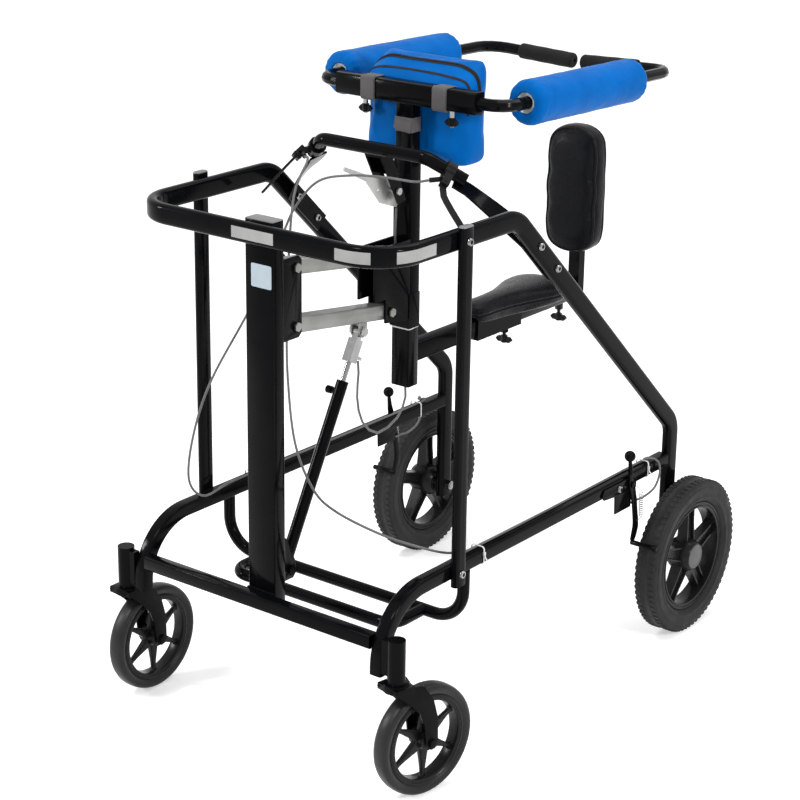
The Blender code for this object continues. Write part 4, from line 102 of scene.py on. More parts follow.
class Wiring:
    """Adds nodes to a shader tree or a Geometry Nodes tree and joins them."""

    def __init__(self, tree: bpy.types.NodeTree) -> None:
        """Keeps the tree that the nodes go in."""
        self.tree = tree

    @classmethod
    def of(cls, owner: bpy.types.Material | bpy.types.World) -> "Wiring":
        """Starts the shader tree of a material or of the world."""
        owner.use_nodes = True
        owner.node_tree.nodes.clear()
        return cls(owner.node_tree)

    def add(self, kind: str, inputs: dict[Any, Any] | None = None, **settings: Any) -> bpy.types.Node:
        """Adds one node.

        Args:
            kind: Blender's name for the node.
            inputs: A value or a socket for each input, by name or number.
            settings: The node's own options.

        Returns:
            The new node.
        """
        node = self.tree.nodes.new(kind)
        for key, value in settings.items():
            setattr(node, key, value)
        for key, value in (inputs or {}).items():
            if isinstance(value, Socket):
                self.tree.links.new(value, node.inputs[key])
            else:
                node.inputs[key].default_value = value
        return node

    def out(self, kind: str, inputs: dict[Any, Any] | None = None, **settings: Any) -> Socket:
        """Adds one node and returns its first output."""
        return self.add(kind, inputs, **settings).outputs[0]

    def maths(self, operation: str, first: Any, second: Any = 0.0) -> Socket:
        """Adds a Math node and returns its result."""
        return self.out("ShaderNodeMath", {0: first, 1: second}, operation=operation)


class Grain(Enum):
    """The kinds of fine relief on the walker's surfaces."""

    PAINT = "slow waves of powder paint"
    BRUSHED = "drawn lines along the arm"
    HIDE = "pebbles of artificial leather"
    CELLS = "open cells of foam"
    WEAVE = "crossed yarns of a strap"
    MOULDED = "spark grain of moulded plastic"


@dataclass(frozen=True)
class Finish:
    """One surface finish: its colours, gloss and relief. Lengths are in metres."""

    name: str
    colour: Three
    patch: Three
    gloss: Flat
    grain: Grain
    grain_size: float
    grain_depth: float
    crease_size: float = 0.05
    crease_depth: float = 0.0001
    metal: float = 0.0
    sheen: float = 0.0
    specular: float = 0.5

    def fine_relief(self, wires: Wiring, place: Socket) -> Socket:
        """Adds the nodes of the grain.

        Args:
            wires: The material's tree.
            place: The object coordinates.

        Returns:
            The height of the grain, about 0 to 1.
        """
        scale = 1.0 / self.grain_size
        if self.grain in (Grain.HIDE, Grain.CELLS):
            cells = wires.out("ShaderNodeTexVoronoi", {"Vector": place, "Scale": scale},
                              feature="DISTANCE_TO_EDGE")
            reach = 0.16 if self.grain is Grain.HIDE else 0.35
            return wires.out("ShaderNodeMapRange", {"Value": cells, "From Max": reach})
        if self.grain is Grain.WEAVE:
            x, y, z = wires.add("ShaderNodeSeparateXYZ", {0: place}).outputs
            yarns = [wires.maths("SINE", wires.maths("MULTIPLY", way, math.pi * scale))
                     for way in (wires.maths("ADD", x, y), z)]
            return wires.maths("MULTIPLY", *yarns)
        if self.grain is Grain.BRUSHED:
            place = wires.out("ShaderNodeMapping", {"Vector": place, "Scale": (1.0, 0.03, 1.0)})
        return wires.out("ShaderNodeTexNoise", {"Vector": place, "Scale": scale,
                                                "Detail": 1.0 if self.grain is Grain.PAINT else 4.0})

    def material(self) -> bpy.types.Material:
        """Returns the material, which is built the first time."""
        made = bpy.data.materials.get(self.name)
        if made:
            return made
        made = bpy.data.materials.new(self.name)
        made.diffuse_color = (*self.colour, 1.0)
        wires = Wiring.of(made)
        place = wires.add("ShaderNodeTexCoord").outputs["Object"]
        patches, smears, folds = (
            wires.out("ShaderNodeTexNoise", {"Vector": place, "Scale": scale, "Detail": detail})
            for scale, detail in (PATCHES, SMEARS, (1.0 / self.crease_size, 3.0)))
        share = wires.out("ShaderNodeMapRange", {"Value": patches, "From Min": 0.36, "From Max": 0.66})
        colour = wires.add("ShaderNodeMix", {0: share, 6: (*self.colour, 1.0), 7: (*self.patch, 1.0)},
                           data_type="RGBA").outputs[2]
        rough = wires.out("ShaderNodeMapRange", {"Value": smears, "From Min": 0.3, "From Max": 0.7,
                                                 "To Min": self.gloss[0], "To Max": self.gloss[1]})
        slow = wires.out("ShaderNodeBump", {"Height": folds, "Distance": self.crease_depth})
        bump = wires.out("ShaderNodeBump", {"Height": self.fine_relief(wires, place), "Normal": slow,
                                            "Distance": self.grain_depth})
        shader = wires.out("ShaderNodeBsdfPrincipled", {
            "Base Color": colour, "Roughness": rough, "Normal": bump, "Metallic": self.metal,
            "Sheen Weight": self.sheen, "Specular IOR Level": self.specular})
        wires.add("ShaderNodeOutputMaterial", {"Surface": shader})
        return made


BLACK_PAINT = Finish("gloss_black_powder_paint", (0.0020, 0.0023, 0.0026), (0.0032, 0.0035, 0.0039),
                     (0.08, 0.17), Grain.PAINT, 0.0035, 0.00008, specular=0.05)
SILVER_ARM = Finish("satin_silver_arm", (0.27, 0.27, 0.255), (0.20, 0.20, 0.19),
                    (0.34, 0.46), Grain.BRUSHED, 0.0012, 0.00004, metal=0.6)
BRIGHT_STEEL = Finish("bright_plated_steel", (0.36, 0.36, 0.355), (0.24, 0.24, 0.24),
                      (0.08, 0.20), Grain.BRUSHED, 0.0016, 0.00002, metal=1.0)
ZINC = Finish("zinc_plated_plate", (0.50, 0.50, 0.48), (0.38, 0.38, 0.37),
              (0.30, 0.44), Grain.MOULDED, 0.0030, 0.00003, metal=0.7)
BLACK_PLASTIC = Finish("black_moulded_plastic", (0.0055, 0.0055, 0.0060), (0.0085, 0.0085, 0.0090),
                       (0.26, 0.38), Grain.MOULDED, 0.0009, 0.00005, specular=0.11)
RIM_PLASTIC = Finish("black_rim_plastic", (0.0070, 0.0070, 0.0075), (0.0115, 0.0115, 0.0120),
                     (0.22, 0.34), Grain.MOULDED, 0.0012, 0.00005, specular=0.12)
TYRE_RUBBER = Finish("dark_tyre_rubber", (0.0125, 0.0125, 0.0125), (0.0200, 0.0200, 0.0195),
                     (0.50, 0.66), Grain.MOULDED, 0.0016, 0.00010, specular=0.16)
CASTER_RUBBER = Finish("grey_caster_rubber", (0.0115, 0.0115, 0.0120), (0.0180, 0.0180, 0.0185),
                       (0.30, 0.44), Grain.MOULDED, 0.0014, 0.00005, specular=0.18)
CAP_GREY = Finish("grey_moulded_cap", (0.060, 0.060, 0.063), (0.080, 0.080, 0.082),
                  (0.36, 0.50), Grain.MOULDED, 0.0010, 0.00004, specular=0.35)
TOP_GREY = Finish("grey_top_cap", (0.13, 0.13, 0.132), (0.17, 0.17, 0.17),
                  (0.36, 0.50), Grain.MOULDED, 0.0010, 0.00004)
BLUE_HIDE = Finish("bright_blue_artificial_leather", (0.0005, 0.122, 0.445), (0.0004, 0.100, 0.375),
                   (0.32, 0.46), Grain.HIDE, 0.0017, 0.00010, crease_size=0.035, crease_depth=0.0010,
                   specular=0.03)
BLACK_HIDE = Finish("black_artificial_leather", (0.0026, 0.0030, 0.0040), (0.0038, 0.0043, 0.0055),
                    (0.20, 0.30), Grain.HIDE, 0.0015, 0.00008, crease_size=0.050, crease_depth=0.0003,
                    specular=0.08)
WHITE_FOAM = Finish("white_cut_foam", (0.86, 0.86, 0.84), (0.76, 0.76, 0.74),
                    (0.80, 0.92), Grain.CELLS, 0.0016, 0.00030)
GRIP_FOAM = Finish("black_grip_foam", (0.0060, 0.0060, 0.0064), (0.0100, 0.0100, 0.0104),
                   (0.70, 0.85), Grain.CELLS, 0.0011, 0.00025, sheen=0.03, specular=0.15)
GREY_WEB = Finish("grey_woven_strap", (0.078, 0.072, 0.075), (0.105, 0.098, 0.100),
                  (0.70, 0.85), Grain.WEAVE, 0.0016, 0.00025, sheen=0.1, specular=0.25)
BLACK_WEB = Finish("black_woven_tape", (0.0060, 0.0065, 0.0080), (0.0100, 0.0105, 0.0120),
                   (0.60, 0.75), Grain.WEAVE, 0.0013, 0.00018, specular=0.25)
CABLE_GREY = Finish("grey_cable_sheath", (0.105, 0.105, 0.107), (0.135, 0.135, 0.137),
                    (0.34, 0.46), Grain.MOULDED, 0.0020, 0.00003, specular=0.3)
WHITE_NYLON = Finish("white_nylon", (0.66, 0.66, 0.64), (0.58, 0.58, 0.56),
                     (0.38, 0.50), Grain.MOULDED, 0.0010, 0.00003)
BLANK_FOIL = Finish("blank_silver_foil", (0.36, 0.36, 0.35), (0.27, 0.27, 0.265),
                    (0.30, 0.42), Grain.PAINT, 0.0060, 0.00008, metal=0.35)
BLANK_PAPER = Finish("blank_white_film", (0.46, 0.54, 0.60), (0.38, 0.46, 0.52),
                     (0.28, 0.40), Grain.PAINT, 0.0060, 0.00006)


class Shape:
    """A mesh in the making. Its faces come from rings of points."""

    def __init__(self) -> None:
        """Starts with nothing."""
        self.work = bmesh.new()

    def loft(self, rings: Sequence[Line], around: bool = False) -> "Shape":
        """Joins rings of points with faces.

        Args:
            rings: Rings with the same number of points.
            around: Whether the last ring joins the first. If not, both ends are closed.

        Returns:
            This shape.
        """
        rows = [[self.work.verts.new(point) for point in ring] for ring in rings]
        for first, second in zip(rows, rows[1:] + rows[:1] if around else rows[1:]):
            for index in range(len(first)):
                after = (index + 1) % len(first)
                self.work.faces.new((first[index], first[after], second[after], second[index]))
        if not around:
            self.work.faces.new(rows[0])
            self.work.faces.new(rows[-1][::-1])
        return self

    def revolve(self, profile: Sequence[Flat], centre: Point, axis: Point, steps: int = 64) -> "Shape":
        """Turns a closed profile round an axis.

        Args:
            profile: Its points, as (radius, along).
            centre: The point of the axis where along is 0.
            axis: The direction of the axis.
            steps: The number of steps in a turn.

        Returns:
            This shape.
        """
        ahead = Vector(axis).normalized()
        return self.loft([[Vector(centre) + ahead * along + out * radius for radius, along in profile]
                          for _, out in spun(ahead, steps)], around=True)

    def sweep(self, path: Line, section: Sequence[Flat], ups: Line | None = None,
              around: bool = False) -> "Shape":
        """Carries a closed section along a path.

        Args:
            path: The points of the path.
            section: The points of the section, as (across, above).
            ups: The direction of above at each point, or None where it doesn't matter.
            around: Whether the path is a loop.

        Returns:
            This shape.
        """
        count = len(path)
        rings = []
        up = UP
        for index, point in enumerate(path):
            before = path[index - 1] if around or index else path[0]
            after = path[(index + 1) % count] if around or index < count - 1 else path[-1]
            ahead = (after - before).normalized()
            if ups is not None:
                up = ups[index]
            elif index == 0 and abs(ahead.z) > 0.9:
                up = LEFT
            up = (up - ahead * up.dot(ahead)).normalized()
            across = ahead.cross(up)
            rings.append([point + across * a + up * b for a, b in section])
        return self.loft(rings, around=around)

    def tube(self, path: Line, radius: float, sides: int = 10, around: bool = False) -> "Shape":
        """Carries a circle along a path."""
        return self.sweep(path, circle(radius, sides), around=around)

    def hoop(self, path: Line, section: Sequence[Flat], axis: Vector) -> "Shape":
        """Carries a section round a loop that lies across an axis, with above outwards."""
        ups = [(path[(index + 1) % len(path)] - path[index - 1]).cross(axis).normalized()
               for index in range(len(path))]
        return self.sweep(path, section, ups, around=True)

    def band(self, line: Sequence[Flat], halves: Point, low: float, high: float) -> "Shape":
        """Makes a flat bar in the YZ plane with its own width at each point.

        Args:
            line: The points (y, z) of its middle.
            halves: Half its width at each point.
            low: The lower X of the bar.
            high: The upper X of the bar.

        Returns:
            This shape.
        """
        rings = []
        for index, (y, z) in enumerate(line):
            (y0, z0), (y1, z1) = line[max(0, index - 1)], line[min(len(line) - 1, index + 1)]
            reach = math.hypot(y1 - y0, z1 - z0)
            side_y, side_z = -(z1 - z0) / reach * halves[index], (y1 - y0) / reach * halves[index]
            rings.append([Vector((x, y + way * side_y, z + way * side_z))
                          for x, way in ((low, 1), (high, 1), (high, -1), (low, -1))])
        return self.loft(rings)

    def mesh(self, name: str, sharp: float = 40.0, edge: float = 0.0) -> Mesh:
        """Ends the shape.

        Args:
            name: The mesh's name.
            sharp: The angle in degrees from which an edge shades sharp.
            edge: How wide its sharp edges are rounded.

        Returns:
            The closed mesh with its faces outwards.
        """
        bmesh.ops.remove_doubles(self.work, verts=self.work.verts, dist=0.000001)
        bmesh.ops.recalc_face_normals(self.work, faces=self.work.faces)
        if edge:
            hard = [e for e in self.work.edges if len(e.link_faces) == 2
                    and e.calc_face_angle(0.0) > math.radians(30)]
            bmesh.ops.bevel(self.work, geom=hard, offset=edge, segments=2, profile=0.5,
                            affect="EDGES", clamp_overlap=True)
            bmesh.ops.recalc_face_normals(self.work, faces=self.work.faces)
        mesh = bpy.data.meshes.new(name)
        self.work.to_mesh(mesh)
        self.work.free()
        mesh.shade_smooth()
        mesh.set_sharp_from_angle(angle=math.radians(sharp))
        return mesh


def spun(ahead: Vector, steps: int) -> list[tuple[float, Vector]]:
    """Returns even turns round an axis, each with the direction outwards."""
    side = ahead.orthogonal().normalized()
    other = ahead.cross(side)
    turns = [2 * math.pi * step / steps for step in range(steps)]
    return [(turn, side * math.cos(turn) + other * math.sin(turn)) for turn in turns]


def quarter(steps: int) -> list[float]:
    """Returns the angles of a quarter turn, from 0 on."""
    return [math.pi / 2 * step / steps for step in range(steps + 1)]


def circle(radius: float, sides: int) -> list[Flat]:
    """Returns the points of a circle, as (across, above)."""
    turns = [2 * math.pi * step / sides for step in range(sides)]
    return [(radius * math.cos(turn), radius * math.sin(turn)) for turn in turns]


def mirrored(half: Sequence[Flat]) -> list[Flat]:
    """Returns a profile of (radius, along) with its mirror image after it."""
    return [*half, *((radius, -along) for radius, along in reversed(half))]


def rounded_box(width: float, height: float, corner: float, steps: int = 4) -> list[Flat]:
    """Returns the outline of a rectangle with round corners, as (across, above)."""
    corner = min(corner, width / 2 - 0.00001, height / 2 - 0.00001)
    turns = [(sides, math.pi / 2 * (number + step / steps))
             for number, sides in enumerate(((1, 1), (-1, 1), (-1, -1), (1, -1)))
             for step in range(steps + 1)]
    return [(x * (width / 2 - corner) + corner * math.cos(turn),
             y * (height / 2 - corner) + corner * math.sin(turn)) for (x, y), turn in turns]


def smooth_line(points: Sequence[Point], per_span: int = 8) -> list[Vector]:
    """Runs a smooth curve through points, with some steps from each to the next."""
    knots = [Vector(point) for point in points]
    knots = [2 * knots[0] - knots[1], *knots, 2 * knots[-1] - knots[-2]]
    line = []
    for a, b, c, d in zip(knots, knots[1:], knots[2:], knots[3:]):
        for step in range(per_span):
            t = step / per_span
            line.append(0.5 * ((2 * b) + (c - a) * t + (2 * a - 5 * b + 4 * c - d) * t * t
                               + (3 * b - a - 3 * c + d) * t ** 3))
    return [*line, knots[-2]]


def evened(loop: Line, spacing: float, rounds: int = 3) -> list[Vector]:
    """Spaces the points of a loop evenly and takes its small steps out.

    Args:
        loop: The points of the loop.
        spacing: The wanted distance between points.
        rounds: How often each point is drawn to its neighbours.

    Returns:
        The new points of the loop.
    """
    points = np.array([tuple(point) for point in loop])
    ring = np.vstack([points, points[:1]])
    lengths = np.concatenate([[0.0], np.cumsum(np.linalg.norm(np.diff(ring, axis=0), axis=1))])
    marks = np.linspace(0.0, lengths[-1], max(12, int(lengths[-1] / spacing)), endpoint=False)
    even = np.stack([np.interp(marks, lengths, ring[:, axis]) for axis in range(3)], axis=1)
    for _ in range(rounds):
        even = (np.roll(even, 1, axis=0) + 2 * even + np.roll(even, -1, axis=0)) / 4
    return [Vector(point) for point in even]


def slice_loop(mesh: Mesh, point: Point, normal: Point) -> list[Vector]:
    """Cuts a mesh with a plane.

    Args:
        mesh: The closed mesh.
        point: A point of the plane.
        normal: The plane's normal.

    Returns:
        The longest loop of the cut, in order, from the same point in each run.
    """
    work = bmesh.new()
    work.from_mesh(mesh)
    cut = bmesh.ops.bisect_plane(work, geom=[*work.verts, *work.edges, *work.faces],
                                 plane_co=point, plane_no=normal)["geom_cut"]
    ways: dict[bmesh.types.BMVert, list[bmesh.types.BMVert]] = {}
    for edge in cut:
        if isinstance(edge, bmesh.types.BMEdge):
            first, second = edge.verts
            ways.setdefault(first, []).append(second)
            ways.setdefault(second, []).append(first)
    best: list[Vector] = []
    left = dict.fromkeys(ways)
    while left:
        line = []
        onward = list(left)
        while onward:
            here = min(onward, key=lambda vertex: tuple(vertex.co))
            del left[here]
            line.append(here.co.copy())
            onward = [vertex for vertex in ways[here] if vertex in left]
        best = max(best, line, key=len)
    work.free()
    return best


def evaluated(item: bpy.types.Object) -> Mesh:
    """Returns the mesh that an object's modifiers give."""
    graph = bpy.context.evaluated_depsgraph_get()
    return bpy.data.meshes.new_from_object(item.evaluated_get(graph), depsgraph=graph)


def linked(name: str, data: Any) -> bpy.types.Object:
    """Returns a new object in the scene."""
    item = bpy.data.objects.new(name, data)
    bpy.context.scene.collection.objects.link(item)
    return item


class Skin:
    """The surface of a piece, asked for its nearest point and its normal."""

    def __init__(self, mesh: Mesh) -> None:
        """Makes the search tree of a mesh."""
        self.tree = BVHTree.FromPolygons([vertex.co.copy() for vertex in mesh.vertices],
                                         [tuple(face.vertices) for face in mesh.polygons])

    def normals(self, points: Iterable[Vector]) -> list[Vector]:
        """Returns the outward normal of the surface nearest to each point."""
        return [self.tree.find_nearest(point)[1] for point in points]

    def lifted(self, points: Iterable[Vector], height: float) -> list[Vector]:
        """Returns each point's nearest place on the surface, raised by a height."""
        found = [self.tree.find_nearest(point)[:2] for point in points]
        return [place + normal * height for place, normal in found]


class Pattern:
    """A Geometry Nodes tree with named inputs, run once to give a plain mesh."""

    def __init__(self, name: str, **asks: str) -> None:
        """Starts the tree.

        Args:
            name: The tree's name.
            asks: The kind of each named input, with _ for a space in its name.
        """
        self.tree = bpy.data.node_groups.new(name, "GeometryNodeTree")
        self.wires = Wiring(self.tree)
        self.sockets: dict[str, str] = {}
        for ask, kind in {"Geometry": "Geometry", "Finish": "Material", **asks}.items():
            socket = self.tree.interface.new_socket(ask.replace("_", " "), in_out="INPUT",
                                                    socket_type="NodeSocket" + kind)
            self.sockets[ask] = socket.identifier
        self.tree.interface.new_socket("Geometry", in_out="OUTPUT", socket_type="NodeSocketGeometry")
        self.given = self.wires.add("NodeGroupInput").outputs

    def piece(self) -> Socket:
        """Adds the small piece that the tree repeats and returns its geometry."""
        return self.wires.add("GeometryNodeObjectInfo", {"Object": self.given["Piece"]}).outputs["Geometry"]

    def turned(self, way: Socket, axis: str) -> Socket:
        """Returns the turn that points an axis of the small piece in a direction."""
        return self.wires.out("FunctionNodeAlignRotationToVector", {"Vector": way}, axis=axis)

    def end(self, geometry: Socket) -> "Pattern":
        """Realizes the instances, gives them their finish and ends the tree."""
        real = self.wires.out("GeometryNodeRealizeInstances", {0: geometry})
        dressed = self.wires.out("GeometryNodeSetMaterial", {0: real, "Material": self.given["Finish"]})
        self.wires.add("NodeGroupOutput", {0: dressed})
        return self

    def run(self, finish: Finish, points: Sequence[Point] = (), links: Sequence[tuple[int, int]] = (),
            ways: Sequence[Point] = (), bit: Mesh | None = None, **sizes: Any) -> Mesh:
        """Runs the tree.

        Args:
            finish: The finish of what it makes.
            points: The points that it starts from.
            links: The pairs of points that are joined.
            ways: The way that each point faces, where the tree asks for it.
            bit: The small piece that it repeats, if it does.
            sizes: The named inputs.

        Returns:
            The plain mesh.
        """
        base = bpy.data.meshes.new("pattern_base")
        base.from_pydata([tuple(point) for point in points], links, [])
        if ways:
            facing = base.attributes.new("facing", "FLOAT_VECTOR", "POINT")
            facing.data.foreach_set("vector", [value for way in ways for value in way])
        carrier = linked("pattern_carrier", base)
        used = [carrier]
        if bit:
            sizes["Piece"] = linked("pattern_bit", bit)
            used.append(sizes["Piece"])
        modifier = carrier.modifiers.new("Pattern", "NODES")
        modifier.node_group = self.tree
        for name, size in {"Finish": finish.material(), **sizes}.items():
            modifier[self.sockets[name]] = size
        made = evaluated(carrier)
        carrier.modifiers.remove(modifier)
        for item in used:
            bpy.data.objects.remove(item)
        return made


class Rows:
    """The Geometry Nodes trees that the sub-assemblies share."""

    def __init__(self) -> None:
        """Builds the trees for rows along a line, rings of blocks, coils, heads and skins."""
        self.along = self.row_along_line()
        self.ring = self.block_ring()
        self.coil = self.coil_spring()
        self.heads = self.screw_heads()
        self.whole = self.merged_skin()
        self.smooth = self.smooth_skin()

    @staticmethod
    def row_along_line() -> Pattern:
        """Returns a tree that sets a piece at a pitch along a line, turned to follow it."""
        row = Pattern("row_along_line", Piece="Object", Pitch="Float")
        wires = row.wires
        curve = wires.out("GeometryNodeMeshToCurve", {0: row.given["Geometry"]})
        marks = wires.out("GeometryNodeResampleCurve", {0: curve, "Length": row.given["Pitch"]},
                          mode="LENGTH")
        turn = row.turned(wires.out("GeometryNodeInputTangent"), "X")
        return row.end(wires.out("GeometryNodeInstanceOnPoints",
                                 {"Points": marks, "Instance": row.piece(), "Rotation": turn}))

    @staticmethod
    def block_ring() -> Pattern:
        """Returns a tree that sets blocks round the X axis, in two rows that are half a step apart."""
        ring = Pattern("block_ring", Piece="Object", Count="Int", Radius="Float", Row_offset="Float")
        wires, given = ring.wires, ring.given
        points = wires.out("GeometryNodeMeshCircle", {"Vertices": given["Count"], "Radius": given["Radius"]})
        step = wires.maths("DIVIDE", 2 * math.pi, given["Count"])

        def along_z(value: Socket) -> Socket:
            """Returns a vector with a value along Z."""
            return wires.out("ShaderNodeCombineXYZ", {2: value})

        turn = along_z(wires.maths("MULTIPLY", wires.out("GeometryNodeInputIndex"), step))
        row = wires.out("GeometryNodeInstanceOnPoints",
                        {"Points": points, "Instance": ring.piece(), "Rotation": turn})
        rows = wires.add("GeometryNodeJoinGeometry")
        for sign in (1.0, -1.0):
            place = along_z(wires.maths("MULTIPLY", given["Row offset"], sign))
            skew = along_z(wires.maths("MULTIPLY", step, 0.25 * sign))
            moved = wires.out("GeometryNodeTransform", {0: row, "Translation": place, "Rotation": skew})
            wires.tree.links.new(moved, rows.inputs[0])
        return ring.end(wires.out("GeometryNodeTransform", {0: rows.outputs[0],
                                                            "Rotation": (0.0, math.pi / 2, 0.0)}))

    @staticmethod
    def screw_heads() -> Pattern:
        """Returns a tree that sets a screw head at each point, facing the way the point says."""
        heads = Pattern("screw_heads", Piece="Object")
        facing = heads.wires.out("GeometryNodeInputNamedAttribute", {"Name": "facing"},
                                 data_type="FLOAT_VECTOR")
        return heads.end(heads.wires.out("GeometryNodeInstanceOnPoints", {
            "Points": heads.given["Geometry"], "Instance": heads.piece(),
            "Rotation": heads.turned(facing, "Z")}))

    @staticmethod
    def coil_spring() -> Pattern:
        """Returns a tree that winds a wire into a coil up the Z axis."""
        coil = Pattern("coil_spring", Turns="Float", Radius="Float", Wire="Float", Length="Float")
        given = coil.given
        spiral = coil.wires.out("GeometryNodeCurveSpiral", {
            "Resolution": 20, "Rotations": given["Turns"], "Start Radius": given["Radius"],
            "End Radius": given["Radius"], "Height": given["Length"]})
        wire = coil.wires.out("GeometryNodeCurvePrimitiveCircle", {"Resolution": 8, "Radius": given["Wire"]})
        return coil.end(coil.wires.out("GeometryNodeCurveToMesh",
                                       {"Curve": spiral, "Profile Curve": wire, "Fill Caps": True}))

    @staticmethod
    def skin_tree(name: str) -> tuple[Wiring, Socket]:
        """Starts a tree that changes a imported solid's skin."""
        tree = bpy.data.node_groups.new(name, "GeometryNodeTree")
        for way in ("INPUT", "OUTPUT"):
            tree.interface.new_socket("Geometry", in_out=way, socket_type="NodeSocketGeometry")
        wires = Wiring(tree)
        return wires, wires.out("NodeGroupInput")

    def merged_skin(self) -> bpy.types.NodeTree:
        """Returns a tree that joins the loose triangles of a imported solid."""
        wires, given = self.skin_tree("merged_skin")
        bare = wires.out("GeometryNodeRemoveAttribute", {0: given, "Name": "custom_normal"})
        whole = wires.out("GeometryNodeMergeByDistance", {0: bare, "Distance": 0.00001})
        wires.add("NodeGroupOutput", {0: whole})
        return wires.tree

    def smooth_skin(self) -> bpy.types.NodeTree:
        """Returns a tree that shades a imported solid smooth, apart from its sharp edges."""
        wires, skin = self.skin_tree("smooth_skin")
        angle = wires.out("GeometryNodeInputMeshEdgeAngle")
        gentle = wires.out("FunctionNodeCompare", {0: angle, 1: math.radians(33)},
                           data_type="FLOAT", operation="LESS_THAN")
        for smooth, domain in ((gentle, "EDGE"), (True, "FACE")):
            skin = wires.out("GeometryNodeSetShadeSmooth", {0: skin, "Shade Smooth": smooth}, domain=domain)
        wires.add("NodeGroupOutput", {0: skin})
        return wires.tree


class Bench:
    """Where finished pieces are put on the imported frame."""

    def __init__(self, frame: dict[str, Any]) -> None:
        """Keeps the frame and makes the shared trees."""
        self.nodes = frame["nodes"]
        self.rows = Rows()

    @staticmethod
    def put(name: str, made: Shape | Mesh, finish: Finish | None, body: str, slot: str | None = None,
            replaces: str | None = None, fill: float | None = None, sharp: float = 40.0,
            edge: float = 0.0) -> bpy.types.Object:
        """Puts a finished piece on its body.

        Args:
            name: The piece's name.
            made: The shape or the mesh, in its place.
            finish: Its finish, or None where the mesh has it already.
            body: The body that it rides on, or nothing where it rides on none.
            slot: The record's material slot, if it has one. Not used.
            replaces: The node that the piece stands for.
            fill: How full a padded piece is, or None for a hard one. Not used.
            sharp: The angle in degrees from which an edge of a shape shades sharp.
            edge: How wide the sharp edges of a shape are rounded.

        Returns:
            The new object.
        """
        mesh = made.mesh(name, sharp, edge) if isinstance(made, Shape) else made
        piece = linked(name, mesh)
        if finish is not None:
            mesh.materials.clear()
            mesh.materials.append(finish.material())
        if body:
            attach(piece, body)
        if replaces:
            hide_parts(replaces)
        LOG.info("%s rides on %s, %d faces", name, body or "two bodies", len(mesh.polygons))
        return piece

    def row(self, name: str, line: Line, bit: Mesh, pitch: float, finish: Finish, body: str,
            around: bool = False) -> None:
        """Sets small pieces, such as stitches or zip teeth, along a line.

        Args:
            name: The name of the whole row.
            line: The points of the line.
            bit: The small piece, at the origin, along X.
            pitch: The distance between two of them.
            finish: Their finish.
            body: The body that they ride on.
            around: Whether the line is a loop.
        """
        count = len(line)
        links = [(index, (index + 1) % count) for index in range(count if around else count - 1)]
        mesh = self.rows.along.run(finish, line, links, bit=bit, Pitch=pitch)
        mesh.shade_smooth()
        self.put(name, mesh, None, body)

    def copy_of(self, node: str, name: str) -> Mesh:
        """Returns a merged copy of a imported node's mesh."""
        mesh = self.nodes[node].data.copy()
        mesh.name = name
        work = bmesh.new()
        work.from_mesh(mesh)
        bmesh.ops.remove_doubles(work, verts=work.verts, dist=0.00001)
        bmesh.ops.recalc_face_normals(work, faces=work.faces)
        work.to_mesh(mesh)
        work.free()
        return mesh

    def axis_of(self, node: str) -> tuple[Vector, Vector, float]:
        """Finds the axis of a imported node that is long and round.

        Args:
            node: The node's name.

        Returns:
            Its middle, its direction towards +Y or the user's left, and half its length.
        """
        places = np.unique(np.round([tuple(v.co) for v in self.nodes[node].data.vertices], 5), axis=0)
        middle = places.mean(0)
        ahead = np.linalg.svd(places - middle, full_matrices=False)[2][0]
        longest = int(np.argmax(places.max(0) - places.min(0)))
        ahead = ahead * math.copysign(1.0, ahead[longest])
        spans = (places - middle) @ ahead
        centre = middle + ahead * (spans.max() + spans.min()) / 2
        return Vector(centre), Vector(ahead), float(spans.max() - spans.min()) / 2


@dataclass
class SubAssembly:
    """A group of pieces that is made on the bench."""

    bench: Bench

    def __post_init__(self) -> None:
        """Takes the bench's tools in hand."""
        self.put = self.bench.put
        self.row = self.bench.row


def stitch(length: float, thickness: float) -> Mesh:
    """Returns one stitch or tooth along X, a low bar with round ends."""
    rings = [[Vector((along * length, a * size, b * size)) for a, b in circle(thickness, 6)]
             for along, size in ((-0.5, 0.35), (-0.34, 1.0), (0.34, 1.0), (0.5, 0.35))]
    return Shape().loft(rings).mesh("stitch")


